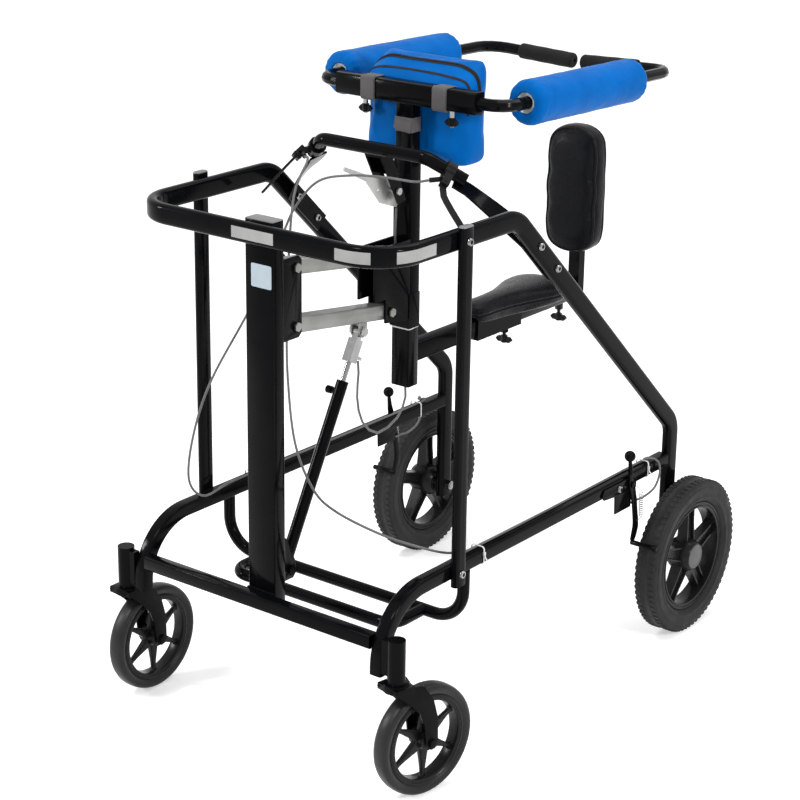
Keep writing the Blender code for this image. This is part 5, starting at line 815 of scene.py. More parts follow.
@dataclass(frozen=True)
class Stuffing:
    """How a cushion is blown up. Lengths are in metres."""

    voxel: float = 0.005
    pressure: float = 4.0
    frames: int = 20
    most: float = 0.005
    shrink: float = 0.0015

    def swell(self, mesh: Mesh, held: Callable[[Vector], Vector] | None = None) -> Mesh:
        """Blows a closed form up with the cloth simulation, then smooths it.

        Args:
            mesh: The closed form in its place.
            held: Moves a point back to where its neighbours let it be.

        Returns:
            The finished cushion.
        """
        scene = bpy.context.scene
        item = linked("cushion_in_work", mesh)
        remesh = item.modifiers.new("Remesh", "REMESH")
        remesh.mode = "VOXEL"
        remesh.voxel_size = self.voxel
        even = evaluated(item)
        item.modifiers.clear()
        self.relax(even, 4, self.shrink)
        item.data = even
        rest = np.array([tuple(vertex.co) for vertex in even.vertices])
        cloth = item.modifiers.new("Cloth", "CLOTH")
        for setting, value in CLOTH.items():
            setattr(cloth.settings, setting, value)
        cloth.settings.uniform_pressure_force = self.pressure
        cloth.settings.effector_weights.gravity = 0.0
        cloth.point_cache.frame_start = 1
        cloth.point_cache.frame_end = self.frames
        for moment in range(1, self.frames + 1):
            scene.frame_set(moment)
        moved = np.array([tuple(vertex.co) for vertex in evaluated(item).vertices]) - rest
        item.modifiers.clear()
        scene.frame_set(1)
        far = np.linalg.norm(moved, axis=1, keepdims=True)
        rest = rest + moved * np.minimum(1.0, self.most / np.maximum(far, 1e-9))
        even.vertices.foreach_set("co", rest.astype(np.float32).ravel())
        self.relax(even, 3, 0.0)
        finer = item.modifiers.new("Finer", "SUBSURF")
        finer.levels = 1
        finer.render_levels = 1
        done = evaluated(item)
        item.modifiers.clear()
        bpy.data.objects.remove(item)
        if held:
            for vertex in done.vertices:
                vertex.co = held(vertex.co)
        done.shade_smooth()
        return done

    @staticmethod
    def relax(mesh: Mesh, rounds: int, shrink: float) -> None:
        """Smooths a mesh and draws it in along its normals.

        Args:
            mesh: The mesh that is changed.
            rounds: How often it is smoothed.
            shrink: How far it is drawn in.
        """
        work = bmesh.new()
        work.from_mesh(mesh)
        for _ in range(rounds):
            bmesh.ops.smooth_vert(work, verts=work.verts, factor=0.5,
                                  use_axis_x=True, use_axis_y=True, use_axis_z=True)
        work.normal_update()
        for vertex in work.verts:
            vertex.co -= vertex.normal * shrink
        work.to_mesh(mesh)
        work.free()


@dataclass
class ChestPad(SubAssembly):
    """The blue pad against the chest, its zip, its tape and its straps."""

    front: float = -0.0806
    bar_bottom: float = 1.080
    bulge: float = 0.0035
    flat_half: float = 0.026
    ease: float = 0.02
    crown: float = 0.010
    crown_depth: Flat = (-0.060, -0.024)
    crown_fade: float = 0.05
    zip_y: float = -0.046
    zip_width: float = 0.0085
    tape_y: float = -0.0690
    tape_width: float = 0.0050
    welt_y: float = -0.012
    bands_from_z: float = 1.070
    bar_y: float = -0.098
    bar_z: float = 1.103
    bar_section: Three = (0.030, 0.038, 0.004)
    strap_x: float = 0.0785
    strap_width: float = 0.031
    strap_thick: float = 0.0014
    post_strap_z: float = 1.048
    post_strap_width: float = 0.026
    post_section: Flat = (0.0354, 0.0254)

    def held(self, point: Vector) -> Vector:
        """Keeps the front flat behind the crossbar and post, with a slight swell beside them."""
        beside = max(0.0, min(1.0, (abs(point.x) - self.flat_half) / self.ease))
        below = max(0.0, min(1.0, (self.bar_bottom - point.z) / self.ease))
        return Vector((point.x, max(point.y, self.front - self.bulge * beside * below), point.z))

    def cushion(self) -> Mesh:
        """Returns the blown cushion, whose rear edge stands up a little."""
        form = self.bench.copy_of("chest_pad", "chest_cushion")
        top = max(vertex.co.z for vertex in form.vertices)
        front, rear = self.crown_depth
        for vertex in form.vertices:
            back = max(0.0, min(1.0, (vertex.co.y - front) / (rear - front)))
            vertex.co.z += self.crown * back * max(0.0, 1.0 - (top - vertex.co.z) / self.crown_fade)
        return Stuffing().swell(form, self.held)

    def bands(self, mesh: Mesh, skin: Skin) -> None:
        """Lays the zip and the tape over the top of the cushion."""
        for name, y, width in (("chest_zip", self.zip_y, self.zip_width),
                               ("chest_tape", self.tape_y, self.tape_width)):
            loop = evened(slice_loop(mesh, (0, y, 0), BACK), 0.004)
            start = min(range(len(loop)), key=lambda i: loop[i].z)
            top = [point for point in loop[start:] + loop[:start] if point.z > self.bands_from_z]
            tape = Shape().sweep(skin.lifted(top, 0.0004), rounded_box(width, 0.0014, 0.0006, 2),
                                 skin.normals(top))
            self.put(name, tape, BLACK_WEB, "chest_support")
            if y == self.zip_y:
                self.row("chest_zip_teeth", skin.lifted(top, 0.0014), stitch(0.0015, 0.0011), 0.0026,
                         BLACK_PLASTIC, "chest_support")

    def seam(self, mesh: Mesh, skin: Skin) -> None:
        """Sews the seam round the rear face of the cushion."""
        loop = evened(slice_loop(mesh, (0, self.welt_y, 0), BACK), 0.004, 5)
        welt = Shape().tube(skin.lifted(loop, 0.0002), 0.0014, 8, around=True)
        self.put("chest_welt", welt, BLUE_HIDE, "chest_support")
        row = skin.lifted([point + Vector((0, -0.0042, 0)) for point in loop], 0.0001)
        self.row("chest_stitches", row, stitch(*STITCH_SIZE), STITCH_PITCH, BLACK_WEB, "chest_support",
                 around=True)

    def strap(self, name: str, x: float) -> None:
        """Winds one strap round the crossbar, with its loose end lapped over the front."""
        y, z, thick = self.bar_y, self.bar_z, self.strap_thick
        gap = 0.0003 + thick / 2
        wide, tall, corner = self.bar_section
        path, lap = ([Vector((x, y + a, z + b))
                      for a, b in rounded_box(wide + 2 * out, tall + 2 * out, corner + out, 5)]
                     for out in (gap, gap + thick + 0.0002))
        shape = Shape().hoop(path, rounded_box(self.strap_width, thick, 0.0005, 2), LEFT)
        over = sorted((p for p in lap if p.y - y < 0.006),
                      key=lambda p: math.atan2(p.z - z, -(p.y - y) + 0.002))
        shape.sweep(over, rounded_box(self.strap_width - 0.002, thick, 0.0005, 2),
                    [Vector((0, p.y - y, p.z - z)).normalized() for p in over])
        self.put(name, shape, GREY_WEB, "chest_support")

    def post_strap(self) -> None:
        """Winds the strap that draws the pad to its post."""
        y, z, gap = self.bar_y, self.post_strap_z, 0.0011
        wide, deep = self.post_section
        path = [Vector((a, y + b, z)) for a, b in rounded_box(wide + 2 * gap, deep + 2 * gap, 0.003, 5)]
        shape = Shape().hoop(path, rounded_box(self.post_strap_width, self.strap_thick, 0.0005, 2), UP)
        pull = smooth_line([(-0.019, y - 0.0145, z + 0.002), (-0.004, y - 0.0162, z - 0.001),
                            (0.017, y - 0.0150, z - 0.004)], 6)
        shape.sweep(pull, rounded_box(0.020, self.strap_thick, 0.0005, 2), [-BACK] * len(pull))
        self.put("post_strap", shape, GREY_WEB, "chest_support")

    def build(self) -> None:
        """Makes the pad and what holds it."""
        mesh = self.cushion()
        self.put("chest_cushion", mesh, BLUE_HIDE, "chest_support", "blue_vinyl", "chest_pad", fill=0.7)
        skin = Skin(mesh)
        self.bands(mesh, skin)
        self.seam(mesh, skin)
        for name, side in SIDES:
            self.strap(f"crossbar_strap_{name}", side * self.strap_x)
        self.post_strap()


@dataclass
class ArmSupports(SubAssembly):
    """The blue sleeves round the arm bars and the black foam grips behind them."""

    radius: float = 0.0400
    mouth: float = 0.0208
    bore: float = 0.0188
    bar: float = 0.0113
    depth: float = 0.0070
    rounding: float = 0.0125
    pleats: int = 14
    # The depth and reach of a pleat, then the depth, place and reach of the folds behind the pleats.
    pleat: Flat = (0.00070, 0.016)
    fold: Three = (0.0005, 0.022, 0.012)
    folds: float = 620.0
    wave_depth: float = 0.0007
    fine_depth: float = 0.0003
    pull_in: float = 0.0006
    grip_radius: float = 0.0150

    def cover(self, centre: Vector, ahead: Vector, half: float, seed: float) -> Shape:
        """Builds the gathered cover of one sleeve.

        Args:
            centre: The middle of the sleeve.
            ahead: The direction of its axis.
            half: Half its length.
            seed: Where its wrinkles start.

        Returns:
            The cover, a closed skin with its ends turned in.
        """
        flat = self.radius - self.rounding
        pleat_depth, pleat_reach = self.pleat
        fold_depth, fold_at, fold_reach = self.fold
        end = [(self.bore, half - 0.014 + 0.0026 * step, 0.2) for step in range(5)]
        end += [(self.mouth - 0.0025 * math.cos(turn), half - 0.0030 + 0.0028 * math.sin(turn), 0.5)
                for turn in quarter(3)]
        end += [(self.mouth + (flat - self.mouth) * share, half - 0.0002 - 0.0006 * share, 1.0)
                for share in (step / 6 for step in range(1, 6))]
        end += [(flat + self.rounding * math.sin(turn),
                 half - 0.0008 - self.rounding + self.rounding * math.cos(turn), 1.0) for turn in quarter(7)]
        end += [(self.radius, (half - 0.0115) * (1 - step / 26), 1.0) for step in range(1, 26)]
        inner = [(self.bore, (half - 0.014) * (1 - 2 * step / 12), 0.0) for step in range(1, 12)]
        profile = [(radius, -along, free) for radius, along, free in end] + end[::-1] + inner
        rings = []
        for angle, out in spun(ahead, 112):
            pucker = math.sin(self.pleats * angle + seed + 2.2 * math.sin(3 * angle + seed))
            ring = []
            for radius, along, free in profile:
                near = math.exp(-(half - abs(along)) / pleat_reach)
                spot = Vector((math.cos(angle) * 2.1, math.sin(angle) * 2.1, along * 26 + seed * 5))
                wave = noise.noise(spot)
                fine = noise.noise(spot * 3.1)
                inset = (half - abs(along) - fold_at) / fold_reach
                fold = math.exp(-inset * inset) * math.sin(abs(along) * self.folds + 4.0 * wave)
                change = free * (pleat_depth * near * pucker + self.wave_depth * wave
                                 + self.fine_depth * fine + fold_depth * fold - self.pull_in)
                ring.append(centre + ahead * along + out * (radius + change))
            rings.append(ring)
        return Shape().loft(rings, around=True)

    def lining(self, centre: Vector, ahead: Vector, half: float) -> Shape:
        """Builds the white foam that shows inside the mouths of a sleeve."""
        face, rim = half - self.depth, self.bore - 0.0002
        profile = ((self.bar, -0.02), (self.bar, -0.001), (0.0135, 0.0004), (0.0158, 0.0012),
                   (0.0176, 0.0030), (rim, 0.0036), (rim, -0.02))
        shape = Shape()
        for sign in (-1.0, 1.0):
            shape.revolve([(radius, sign * (face + rise)) for radius, rise in profile], centre, ahead, 56)
        return shape

    def sleeve(self, name: str, seed: float) -> None:
        """Makes one sleeve with its lining, seam and stitches."""
        centre, ahead, half = self.bench.axis_of(f"armrest_foam_{name}")
        body = f"armrest_{name}"
        mesh = self.cover(centre, ahead, half, seed).mesh(f"arm_sleeve_{name}", sharp=70.0)
        self.put(f"arm_sleeve_{name}", mesh, BLUE_HIDE, body, "blue_vinyl", f"armrest_foam_{name}", fill=0.8)
        self.put(f"sleeve_lining_{name}", self.lining(centre, ahead, half), WHITE_FOAM, body)
        skin = Skin(mesh)
        down = (-UP - ahead * (-UP).dot(ahead)).normalized()
        line = [centre + down * self.radius + ahead * (half - 0.008) * (step / 40 - 1)
                for step in range(81)]
        self.put(f"sleeve_seam_{name}", Shape().tube(skin.lifted(line, -0.0002), 0.0009, 8), BLUE_HIDE, body)
        across = ahead.cross(down) * 0.0035
        row = skin.lifted([point + across for point in line], 0.0001)
        self.row(f"sleeve_stitches_{name}", row, stitch(*STITCH_SIZE), STITCH_PITCH, BLACK_WEB, body)

    def grip(self, name: str) -> None:
        """Makes one closed foam grip."""
        centre, ahead, half = self.bench.axis_of(f"hand_grip_{name}")
        if abs((centre + ahead * half).x) > abs((centre - ahead * half).x):
            ahead = -ahead
        r = self.grip_radius
        profile: list[Flat] = [(self.bar, -half + 0.0004)]
        profile += [(r - 0.0028 + 0.0026 * math.sin(turn), -half + 0.0030 - 0.0026 * math.cos(turn))
                    for turn in quarter(5)]
        profile += [(r - 0.00015 + 0.0002 * math.sin(step * 0.9),
                     -half + 0.003 + (2 * half - 0.010) * step / 20) for step in range(1, 20)]
        profile += [(r - 0.0060 + 0.0058 * math.cos(turn), half - 0.0062 + 0.0060 * math.sin(turn))
                    for turn in quarter(6)]
        profile += [(0.0046, half - 0.0004), (0.0036, half - 0.0012), (0.0030, half - 0.0030),
                    (0.0, half - 0.0034), (0.0, half - 0.0056), (self.bar, half - 0.0058)]
        self.put(f"foam_grip_{name}", Shape().revolve(profile, centre, ahead, 56), GRIP_FOAM,
                 f"armrest_{name}", "grip_foam", f"hand_grip_{name}", fill=0.9, sharp=60.0)

    def build(self) -> None:
        """Makes both sleeves and both grips."""
        for name, side in SIDES:
            self.sleeve(name, 1.3 + side)
            self.grip(name)


@dataclass
class Seat(SubAssembly):
    """The black saddle and the backrest with their welts."""

    saddle_welt_z: float = 0.6515
    back_welts: Flat = (0.4300, 0.4640)

    def welt(self, name: str, mesh: Mesh, point: Point, normal: Point, radius: float, body: str) -> None:
        """Lays a welt where a plane cuts a cushion, with a row of stitches beside it.

        Args:
            name: The welt's name.
            mesh: The cushion.
            point: A point of the plane.
            normal: The plane's normal, on the side where the stitches run.
            radius: The welt's radius.
            body: The body that it rides on.
        """
        skin = Skin(mesh)
        loop = evened(slice_loop(mesh, point, normal), 0.004, 6)
        self.put(name, Shape().tube(skin.lifted(loop, radius * 0.25), radius, 8, around=True), BLACK_HIDE,
                 body)
        row = skin.lifted([spot + Vector(normal) * (radius + 0.0034) for spot in loop], 0.0001)
        self.row(f"{name}_stitches", row, stitch(*STITCH_SIZE), STITCH_PITCH, CAP_GREY, body, around=True)

    def build(self) -> None:
        """Makes the saddle and the backrest."""
        saddle = Stuffing(voxel=0.004, most=0.0025, shrink=0.0010).swell(
            self.bench.copy_of("saddle", "saddle_cushion"))
        self.put("saddle_cushion", saddle, BLACK_HIDE, "saddle", "black_vinyl", "saddle", fill=0.7)
        self.welt("saddle_welt", saddle, (0, 0, self.saddle_welt_z), UP, 0.0016, "saddle")
        back = Stuffing().swell(self.bench.copy_of("backrest_pad", "back_cushion"))
        self.put("back_cushion", back, BLACK_HIDE, "backrest", "black_vinyl", "backrest_pad", fill=0.7)
        for name, y, way in zip(("front", "rear"), self.back_welts, (1.0, -1.0)):
            self.welt(f"back_welt_{name}", back, (0, y, 0), (0, way, 0), 0.0019, "backrest")


@dataclass
class Wheels(SubAssembly):
    """The tyres, rims and caps of the rear wheels and casters."""

    rear_centre: Three = (0.3211, 0.3985, 0.154)
    rear_radius: float = 0.154
    hub_middle: float = 0.3171
    cap_face: float = 0.3434
    blocks: int = 72
    block_high: float = 0.0009
    block_offset: float = 0.0138
    rear_spokes: int = 5
    caster_radius: float = 0.100
    caster_spokes: int = 6
    cap_radius: float = 0.0245

    def on_axle(self, x: float) -> Vector:
        """Returns a point on the rear axle."""
        return Vector((x, *self.rear_centre[1:]))

    def block(self) -> Mesh:
        """Returns one tread block that points along X, with its long side along Z."""
        high = self.block_high + 0.001
        rings = [[Vector((along, a * size, b * size)) for a, b in rounded_box(0.0098, 0.0125, 0.002, 1)]
                 for along, size in ((-0.001, 1.0), (high * 0.62, 0.96), (high - 0.001, 0.84))]
        return Shape().loft(rings).mesh("tread_block")

    def rear_tyre(self, name: str, side: float) -> None:
        """Makes one rear tyre with its tread."""
        centre = self.on_axle(side * self.rear_centre[0])
        top = self.rear_radius - self.block_high
        wall = [(0.1101, -0.0165), (0.1125, -0.0190), (0.1150, -0.0215), (0.1180, -0.0232),
                (0.1192, -0.0243), (0.1208, -0.0243), (0.1222, -0.0232), (0.1290, -0.0243),
                (0.1370, -0.0249), (0.1405, -0.0246), (0.1412, -0.0238), (0.1420, -0.0241),
                (0.1480, -0.0218), (top - 0.0008, -0.0190), (top, -0.0150), (top, -0.0050),
                (top - 0.0012, -0.0030)]
        tyre = Shape().revolve(mirrored(wall), centre, LEFT, 112)
        self.put(f"rear_tread_tyre_{name}", tyre, TYRE_RUBBER, f"rear_wheel_{name}", "wheel_rubber",
                 f"rear_tyre_{name}", sharp=50.0)
        mesh = self.bench.rows.ring.run(TYRE_RUBBER, bit=self.block(), Count=self.blocks, Radius=top,
                                        Row_offset=self.block_offset)
        mesh.transform(Matrix.Translation(centre))
        self.put(f"tread_blocks_{name}", mesh, None, f"rear_wheel_{name}")

    @staticmethod
    def channel(width: float, depth: float) -> list[Flat]:
        """Returns the section of a moulded spoke with a rib along each edge."""
        rib, floor = 0.0034, 0.0058
        half, deep = width / 2, depth / 2
        side = [(half, deep), (half - rib, deep), (half - rib - 0.0012, deep - floor)]
        upper = side + [(-a, b) for a, b in reversed(side)]
        return upper + [(-a, -b) for a, b in upper]

    def spokes(self, shape: Shape, centre: Vector, axis: Vector, count: int, stations: Sequence[Three],
               ribbed: bool) -> None:
        """Adds the spokes of a wheel.

        Args:
            shape: The wheel in the making.
            centre: The middle of the wheel.
            axis: The direction of its axle.
            count: The number of spokes, the first straight up.
            stations: The radius, width and depth of a spoke at each step outwards.
            ribbed: Whether a spoke is a channel or has round edges.
        """
        for number in range(count):
            out = Matrix.Rotation(2 * math.pi * number / count, 3, axis) @ UP
            across = axis.cross(out)
            rings = []
            for radius, width, depth in stations:
                section = self.channel(width, depth) if ribbed else rounded_box(width, depth, 0.0028, 3)
                rings.append([centre + out * radius + across * a + axis * b for a, b in section])
            shape.loft(rings)

    def rear_rim(self, name: str, side: float) -> None:
        """Makes one rear rim with its ribbed spokes and hub."""
        axis = Vector((side, 0, 0))
        centre = self.on_axle(side * self.rear_centre[0])
        lip = [(0.1100, 0.0130), (0.1097, 0.0158), (0.1085, 0.0170), (0.1050, 0.0172), (0.1042, 0.0158),
               (0.1022, 0.0156), (0.1014, 0.0172), (0.0990, 0.0172), (0.0976, 0.0162), (0.0970, 0.0130)]
        hub = [(0.0063, -0.0279), (0.0215, -0.0279), (0.0235, -0.0260), (0.0300, -0.0185),
               (0.0335, -0.0120), (0.0335, 0.0140), (0.0300, 0.0205), (0.0272, 0.0268), (0.0260, 0.0280),
               (0.0252, 0.0280), (0.0250, 0.0262), (0.0, 0.0262), (0.0, 0.0122), (0.0063, 0.0122)]
        shape = Shape().revolve(mirrored(lip), centre, axis, 96)
        shape.revolve(hub, self.on_axle(side * self.hub_middle), axis, 64)
        self.spokes(shape, centre, axis, self.rear_spokes,
                    ((0.0270, 0.0300, 0.0240), (0.0400, 0.0285, 0.0225), (0.0700, 0.0245, 0.0200),
                     (0.0900, 0.0250, 0.0190), (0.0985, 0.0300, 0.0185)), True)
        self.put(f"ribbed_rim_{name}", shape, RIM_PLASTIC, f"rear_wheel_{name}", "rim_plastic",
                 f"rear_wheel_{name}", sharp=32.0)

    def rear_cap(self, name: str, side: float) -> None:
        """Makes the round cap over one rear hub."""
        r = self.cap_radius
        profile = [(0.0, 0.0), (r, 0.0), (r, 0.0016), (r - 0.0012, 0.0026), (r - 0.0042, 0.0029),
                   (r - 0.0052, 0.0024), (r - 0.0090, 0.0029), (0.0040, 0.0032), (0.0, 0.0032)]
        cap = Shape().revolve(profile, self.on_axle(side * self.cap_face), (side, 0, 0), 48)
        self.put(f"hub_cap_{name}", cap, CAP_GREY, f"rear_wheel_{name}", sharp=30.0)

    def caster(self, name: str) -> None:
        """Makes one caster's smooth tyre and its rim with tapered spokes."""
        joint = next(joint for joint in JOINTS if joint["name"] == f"caster_axle_{name}")
        centre, axis = Vector(joint["pos_m"]), Vector(joint["axis"]).normalized()
        body = f"caster_wheel_{name}"
        flank = [(0.0821, -0.0118), (0.0850, -0.0140), (0.0880, -0.0151), (0.0912, -0.0160),
                 (0.0950, -0.0152), (0.0975, -0.0132), (0.0990, -0.0100), (0.09985, -0.0050)]
        profile = flank + [(self.caster_radius, 0.0)] + mirrored(flank)[len(flank):]
        self.put(f"caster_band_{name}", Shape().revolve(profile, centre, axis, 96), CASTER_RUBBER, body,
                 "wheel_rubber", f"caster_tyre_{name}", sharp=50.0)
        lip = [(0.0820, 0.0100), (0.0818, 0.0126), (0.0800, 0.0136), (0.0772, 0.0138), (0.0758, 0.0126),
               (0.0728, 0.0126), (0.0712, 0.0118), (0.0703, 0.0090)]
        hub = [(0.0053, 0.0179), (0.0150, 0.0179), (0.0168, 0.0165), (0.0180, 0.0080)]
        shape = Shape().revolve(mirrored(lip), centre, axis, 96).revolve(mirrored(hub), centre, axis, 48)
        self.spokes(shape, centre, axis, self.caster_spokes,
                    ((0.0150, 0.0215, 0.0120), (0.0200, 0.0190, 0.0118), (0.0350, 0.0140, 0.0110),
                     (0.0500, 0.0098, 0.0100), (0.0620, 0.0078, 0.0092), (0.0670, 0.0090, 0.0090),
                     (0.0695, 0.0125, 0.0090), (0.0715, 0.0190, 0.0090)), False)
        self.put(f"caster_rim_{name}", shape, RIM_PLASTIC, body, "rim_plastic", body, sharp=38.0)

    def build(self) -> None:
        """Makes the wheels of both sides."""
        for name, side in SIDES:
            self.rear_tyre(name, side)
            self.rear_rim(name, side)
            self.rear_cap(name, side)
            self.caster(name)


CABLE_HEAD: tuple[Three, ...] = ((0.1363, -0.2162, 0.9887), (0.1172, -0.2320, 0.9861))
CABLE_ROUTES: dict[str, tuple[Three, ...]] = {
    "left": (
        (0.0871, -0.272, 0.996), (0.0300, -0.291, 0.994), (-0.0450, -0.288, 0.972),
        (-0.1132, -0.268, 0.913), (-0.1400, -0.275, 0.855), (-0.1627, -0.330, 0.738),
        (-0.2148, -0.380, 0.602), (-0.2420, -0.400, 0.500), (-0.2520, -0.405, 0.410),
        (-0.2480, -0.370, 0.368), (-0.2580, -0.290, 0.368)),
    "right": (
        (-0.0980, -0.290, 0.940), (-0.0860, -0.320, 0.830), (-0.0818, -0.330, 0.717),
        (-0.0497, -0.365, 0.633), (-0.0081, -0.395, 0.534), (0.0403, -0.405, 0.465),
        (0.0849, -0.400, 0.434), (0.1684, -0.390, 0.413), (0.2367, -0.370, 0.400),
        (0.2620, -0.300, 0.371)),
}
SHOE_CENTRE: Flat = (0.2497, 0.2181)


@dataclass
class BentTubes(SubAssembly):
    """The frame's bent tubes and the brake cables, with finely rounded bends."""

    side_x: float = 0.2725
    ring_z: float = 0.931
    ring_y: float = -0.5055
    ring_bend: float = 0.078
    # The Y of the knee and the Z of the hip, each with its bend radius.
    knee: Flat = (-0.152, 0.060)
    hip: Flat = (0.418, 0.050)
    axle_y: float = 0.3985
    leg_foot: float = 0.130
    # The width, height and corner radius of the oval tube.
    oval: Three = (0.020, 0.036, 0.0085)
    rail_x: float = 0.270
    # The rear Y, front Y and Z of a rail.
    rail: Three = (0.3803, -0.508, 0.3475)
    rail_foot: float = 0.225
    rail_bend: float = 0.110
    bar: float = 0.025
    foot: Flat = (-0.276, 0.235)
    foot_radius: float = 0.011
    foot_bend: float = 0.060
    # The X and top Z of the foot tube's ends, then the half width, depth and bend radius of its loop.
    foot_leg: Flat = (0.27125, 0.3347)
    loop: Three = (0.185, 0.089, 0.034)
    bar_shoulder: Three = (0.115, -0.195, 1.020)
    bar_end: Three = (0.168, -0.155, 0.982)
    bar_bend: float = 0.030
    bar_radius: float = 0.0117
    cable_radius: float = 0.0022
    cable_top: float = 0.3625
    cable_outside: float = 0.2850

    @staticmethod
    def bent(corners: Sequence[Point], radii: Point, step: float = 0.10) -> list[Vector]:
        """Rounds the corners of a route.

        Args:
            corners: The corner points.
            radii: The bend radius at each inner corner.
            step: The angle between two points of a bend.

        Returns:
            The points of the route.
        """
        points = [Vector(corner) for corner in corners]
        route = [points[0]]
        for before, corner, after, radius in zip(points, points[1:], points[2:], radii):
            back, ahead = (before - corner).normalized(), (after - corner).normalized()
            turn = math.pi - back.angle(ahead)
            centre = corner + (back + ahead).normalized() * radius / math.cos(turn / 2)
            first = corner + back * radius * math.tan(turn / 2) - centre
            axis = back.cross(ahead).normalized()
            count = max(4, round(turn / step))
            route += [centre + Matrix.Rotation(-turn * part / count, 3, axis) @ first
                      for part in range(count + 1)]
        return route + [points[-1]]

    @staticmethod
    def lateral(route: Line, side: Vector) -> list[Vector]:
        """Returns, for each point, the direction in the plane of a side frame or upwards on the ring."""
        ups = []
        for index, _ in enumerate(route):
            ahead = route[min(index + 1, len(route) - 1)] - route[max(index - 1, 0)]
            level = ahead.cross(UP)
            if level.length > 0.05 * ahead.length:
                side = level.normalized()
            ups.append(side.cross(ahead).normalized())
        return ups

    def frame_piece(self, name: str, shape: Shape, replaces: str, sharp: float) -> None:
        """Puts a painted tube on the frame in place of an imported one."""
        self.put(name, shape, BLACK_PAINT, "frame", "black_paint", replaces, sharp=sharp)

    def side_and_ring(self) -> None:
        """Bends the long oval tube of both sides and the ring."""
        x = self.side_x
        half = [(x, self.axle_y, self.leg_foot), (x, self.axle_y, self.hip[0]),
                (x, self.knee[0], self.ring_z), (x, self.ring_y, self.ring_z)]
        radii = [self.hip[1], self.knee[1], self.ring_bend]
        route = self.bent(half + [(-a, b, c) for a, b, c in reversed(half)], radii + radii[::-1])
        shape = Shape().sweep(route, rounded_box(*self.oval, 6), self.lateral(route, -LEFT))
        self.frame_piece("side_and_ring_tube", shape, "upper_frame_tube", 50.0)

    def rails(self) -> None:
        """Bends both lower rails."""
        rear, front, z = self.rail
        for name, side in SIDES:
            x = side * self.rail_x
            route = self.bent([(x, rear, z), (x, front, z), (x, front, self.rail_foot)], [self.rail_bend])
            shape = Shape().sweep(route, rounded_box(self.bar, self.bar, 0.004, 4),
                                  self.lateral(route, side * LEFT))
            self.frame_piece(f"bent_rail_{name}", shape, f"lower_rail_{name}", 50.0)

    def foot_tubes(self) -> None:
        """Bends the cross tube under the rails and its loop."""
        y, z = self.foot
        x, top = self.foot_leg
        reach, deep, bend = self.loop
        shape = Shape()
        for corners, radius in (([(x, y, top), (x, y, z)], self.foot_bend),
                                ([(reach, y, z), (reach, y - deep, z)], bend)):
            route = self.bent(corners + [(-a, b, c) for a, b, c in reversed(corners)], [radius, radius])
            shape.tube(route, self.foot_radius, 20)
        self.frame_piece("foot_tubes", shape, "foot_frame", 60.0)

    def handlebar(self) -> None:
        """Lays a finely bent skin over the handlebar."""
        a, b = Vector(self.bar_shoulder), Vector(self.bar_end)
        tip = b + (a - b).normalized() * -0.0002
        corners = [tip, a] + [Vector((-point.x, point.y, point.z)) for point in (a, tip)]
        route = self.bent(corners, [self.bar_bend, self.bar_bend])
        self.put("handlebar_skin", Shape().tube(route, self.bar_radius, 20), BLACK_PAINT, "frame",
                 sharp=60.0)

    def brake_cable(self, name: str, start: float) -> None:
        """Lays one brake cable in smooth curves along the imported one, down to the other side."""
        side, inside, outside = -start, self.rail_x - 0.004, self.cable_outside
        ends = ((inside, -0.220, 0.0), (inside, 0.280, 0.0), (inside + 0.007, 0.306, 0.006),
                (inside + 0.0175, 0.324, 0.004), (outside + 0.0035, 0.336, -0.010),
                (outside + 0.0040, 0.338, -0.033), (outside + 0.0020, 0.324, -0.056),
                (outside - 0.0006, 0.290, -0.0645), (outside - 0.0010, 0.262, -0.0625),
                (outside - 0.0010, 0.2429, -0.0625))
        line = smooth_line([(start * x, y, z) for x, y, z in CABLE_HEAD] + [*CABLE_ROUTES[name]]
                           + [(side * x, y, self.cable_top + z) for x, y, z in ends], 7)
        self.put(f"smooth_brake_cable_{name}", Shape().tube(line, self.cable_radius), CABLE_GREY, "frame",
                 "cable_grey", f"brake_cable_{name}", sharp=70.0)

    def build(self) -> None:
        """Bends all the tubes."""
        self.side_and_ring()
        self.rails()
        self.foot_tubes()
        self.handlebar()
        for name, side in SIDES:
            self.brake_cable(name, side)


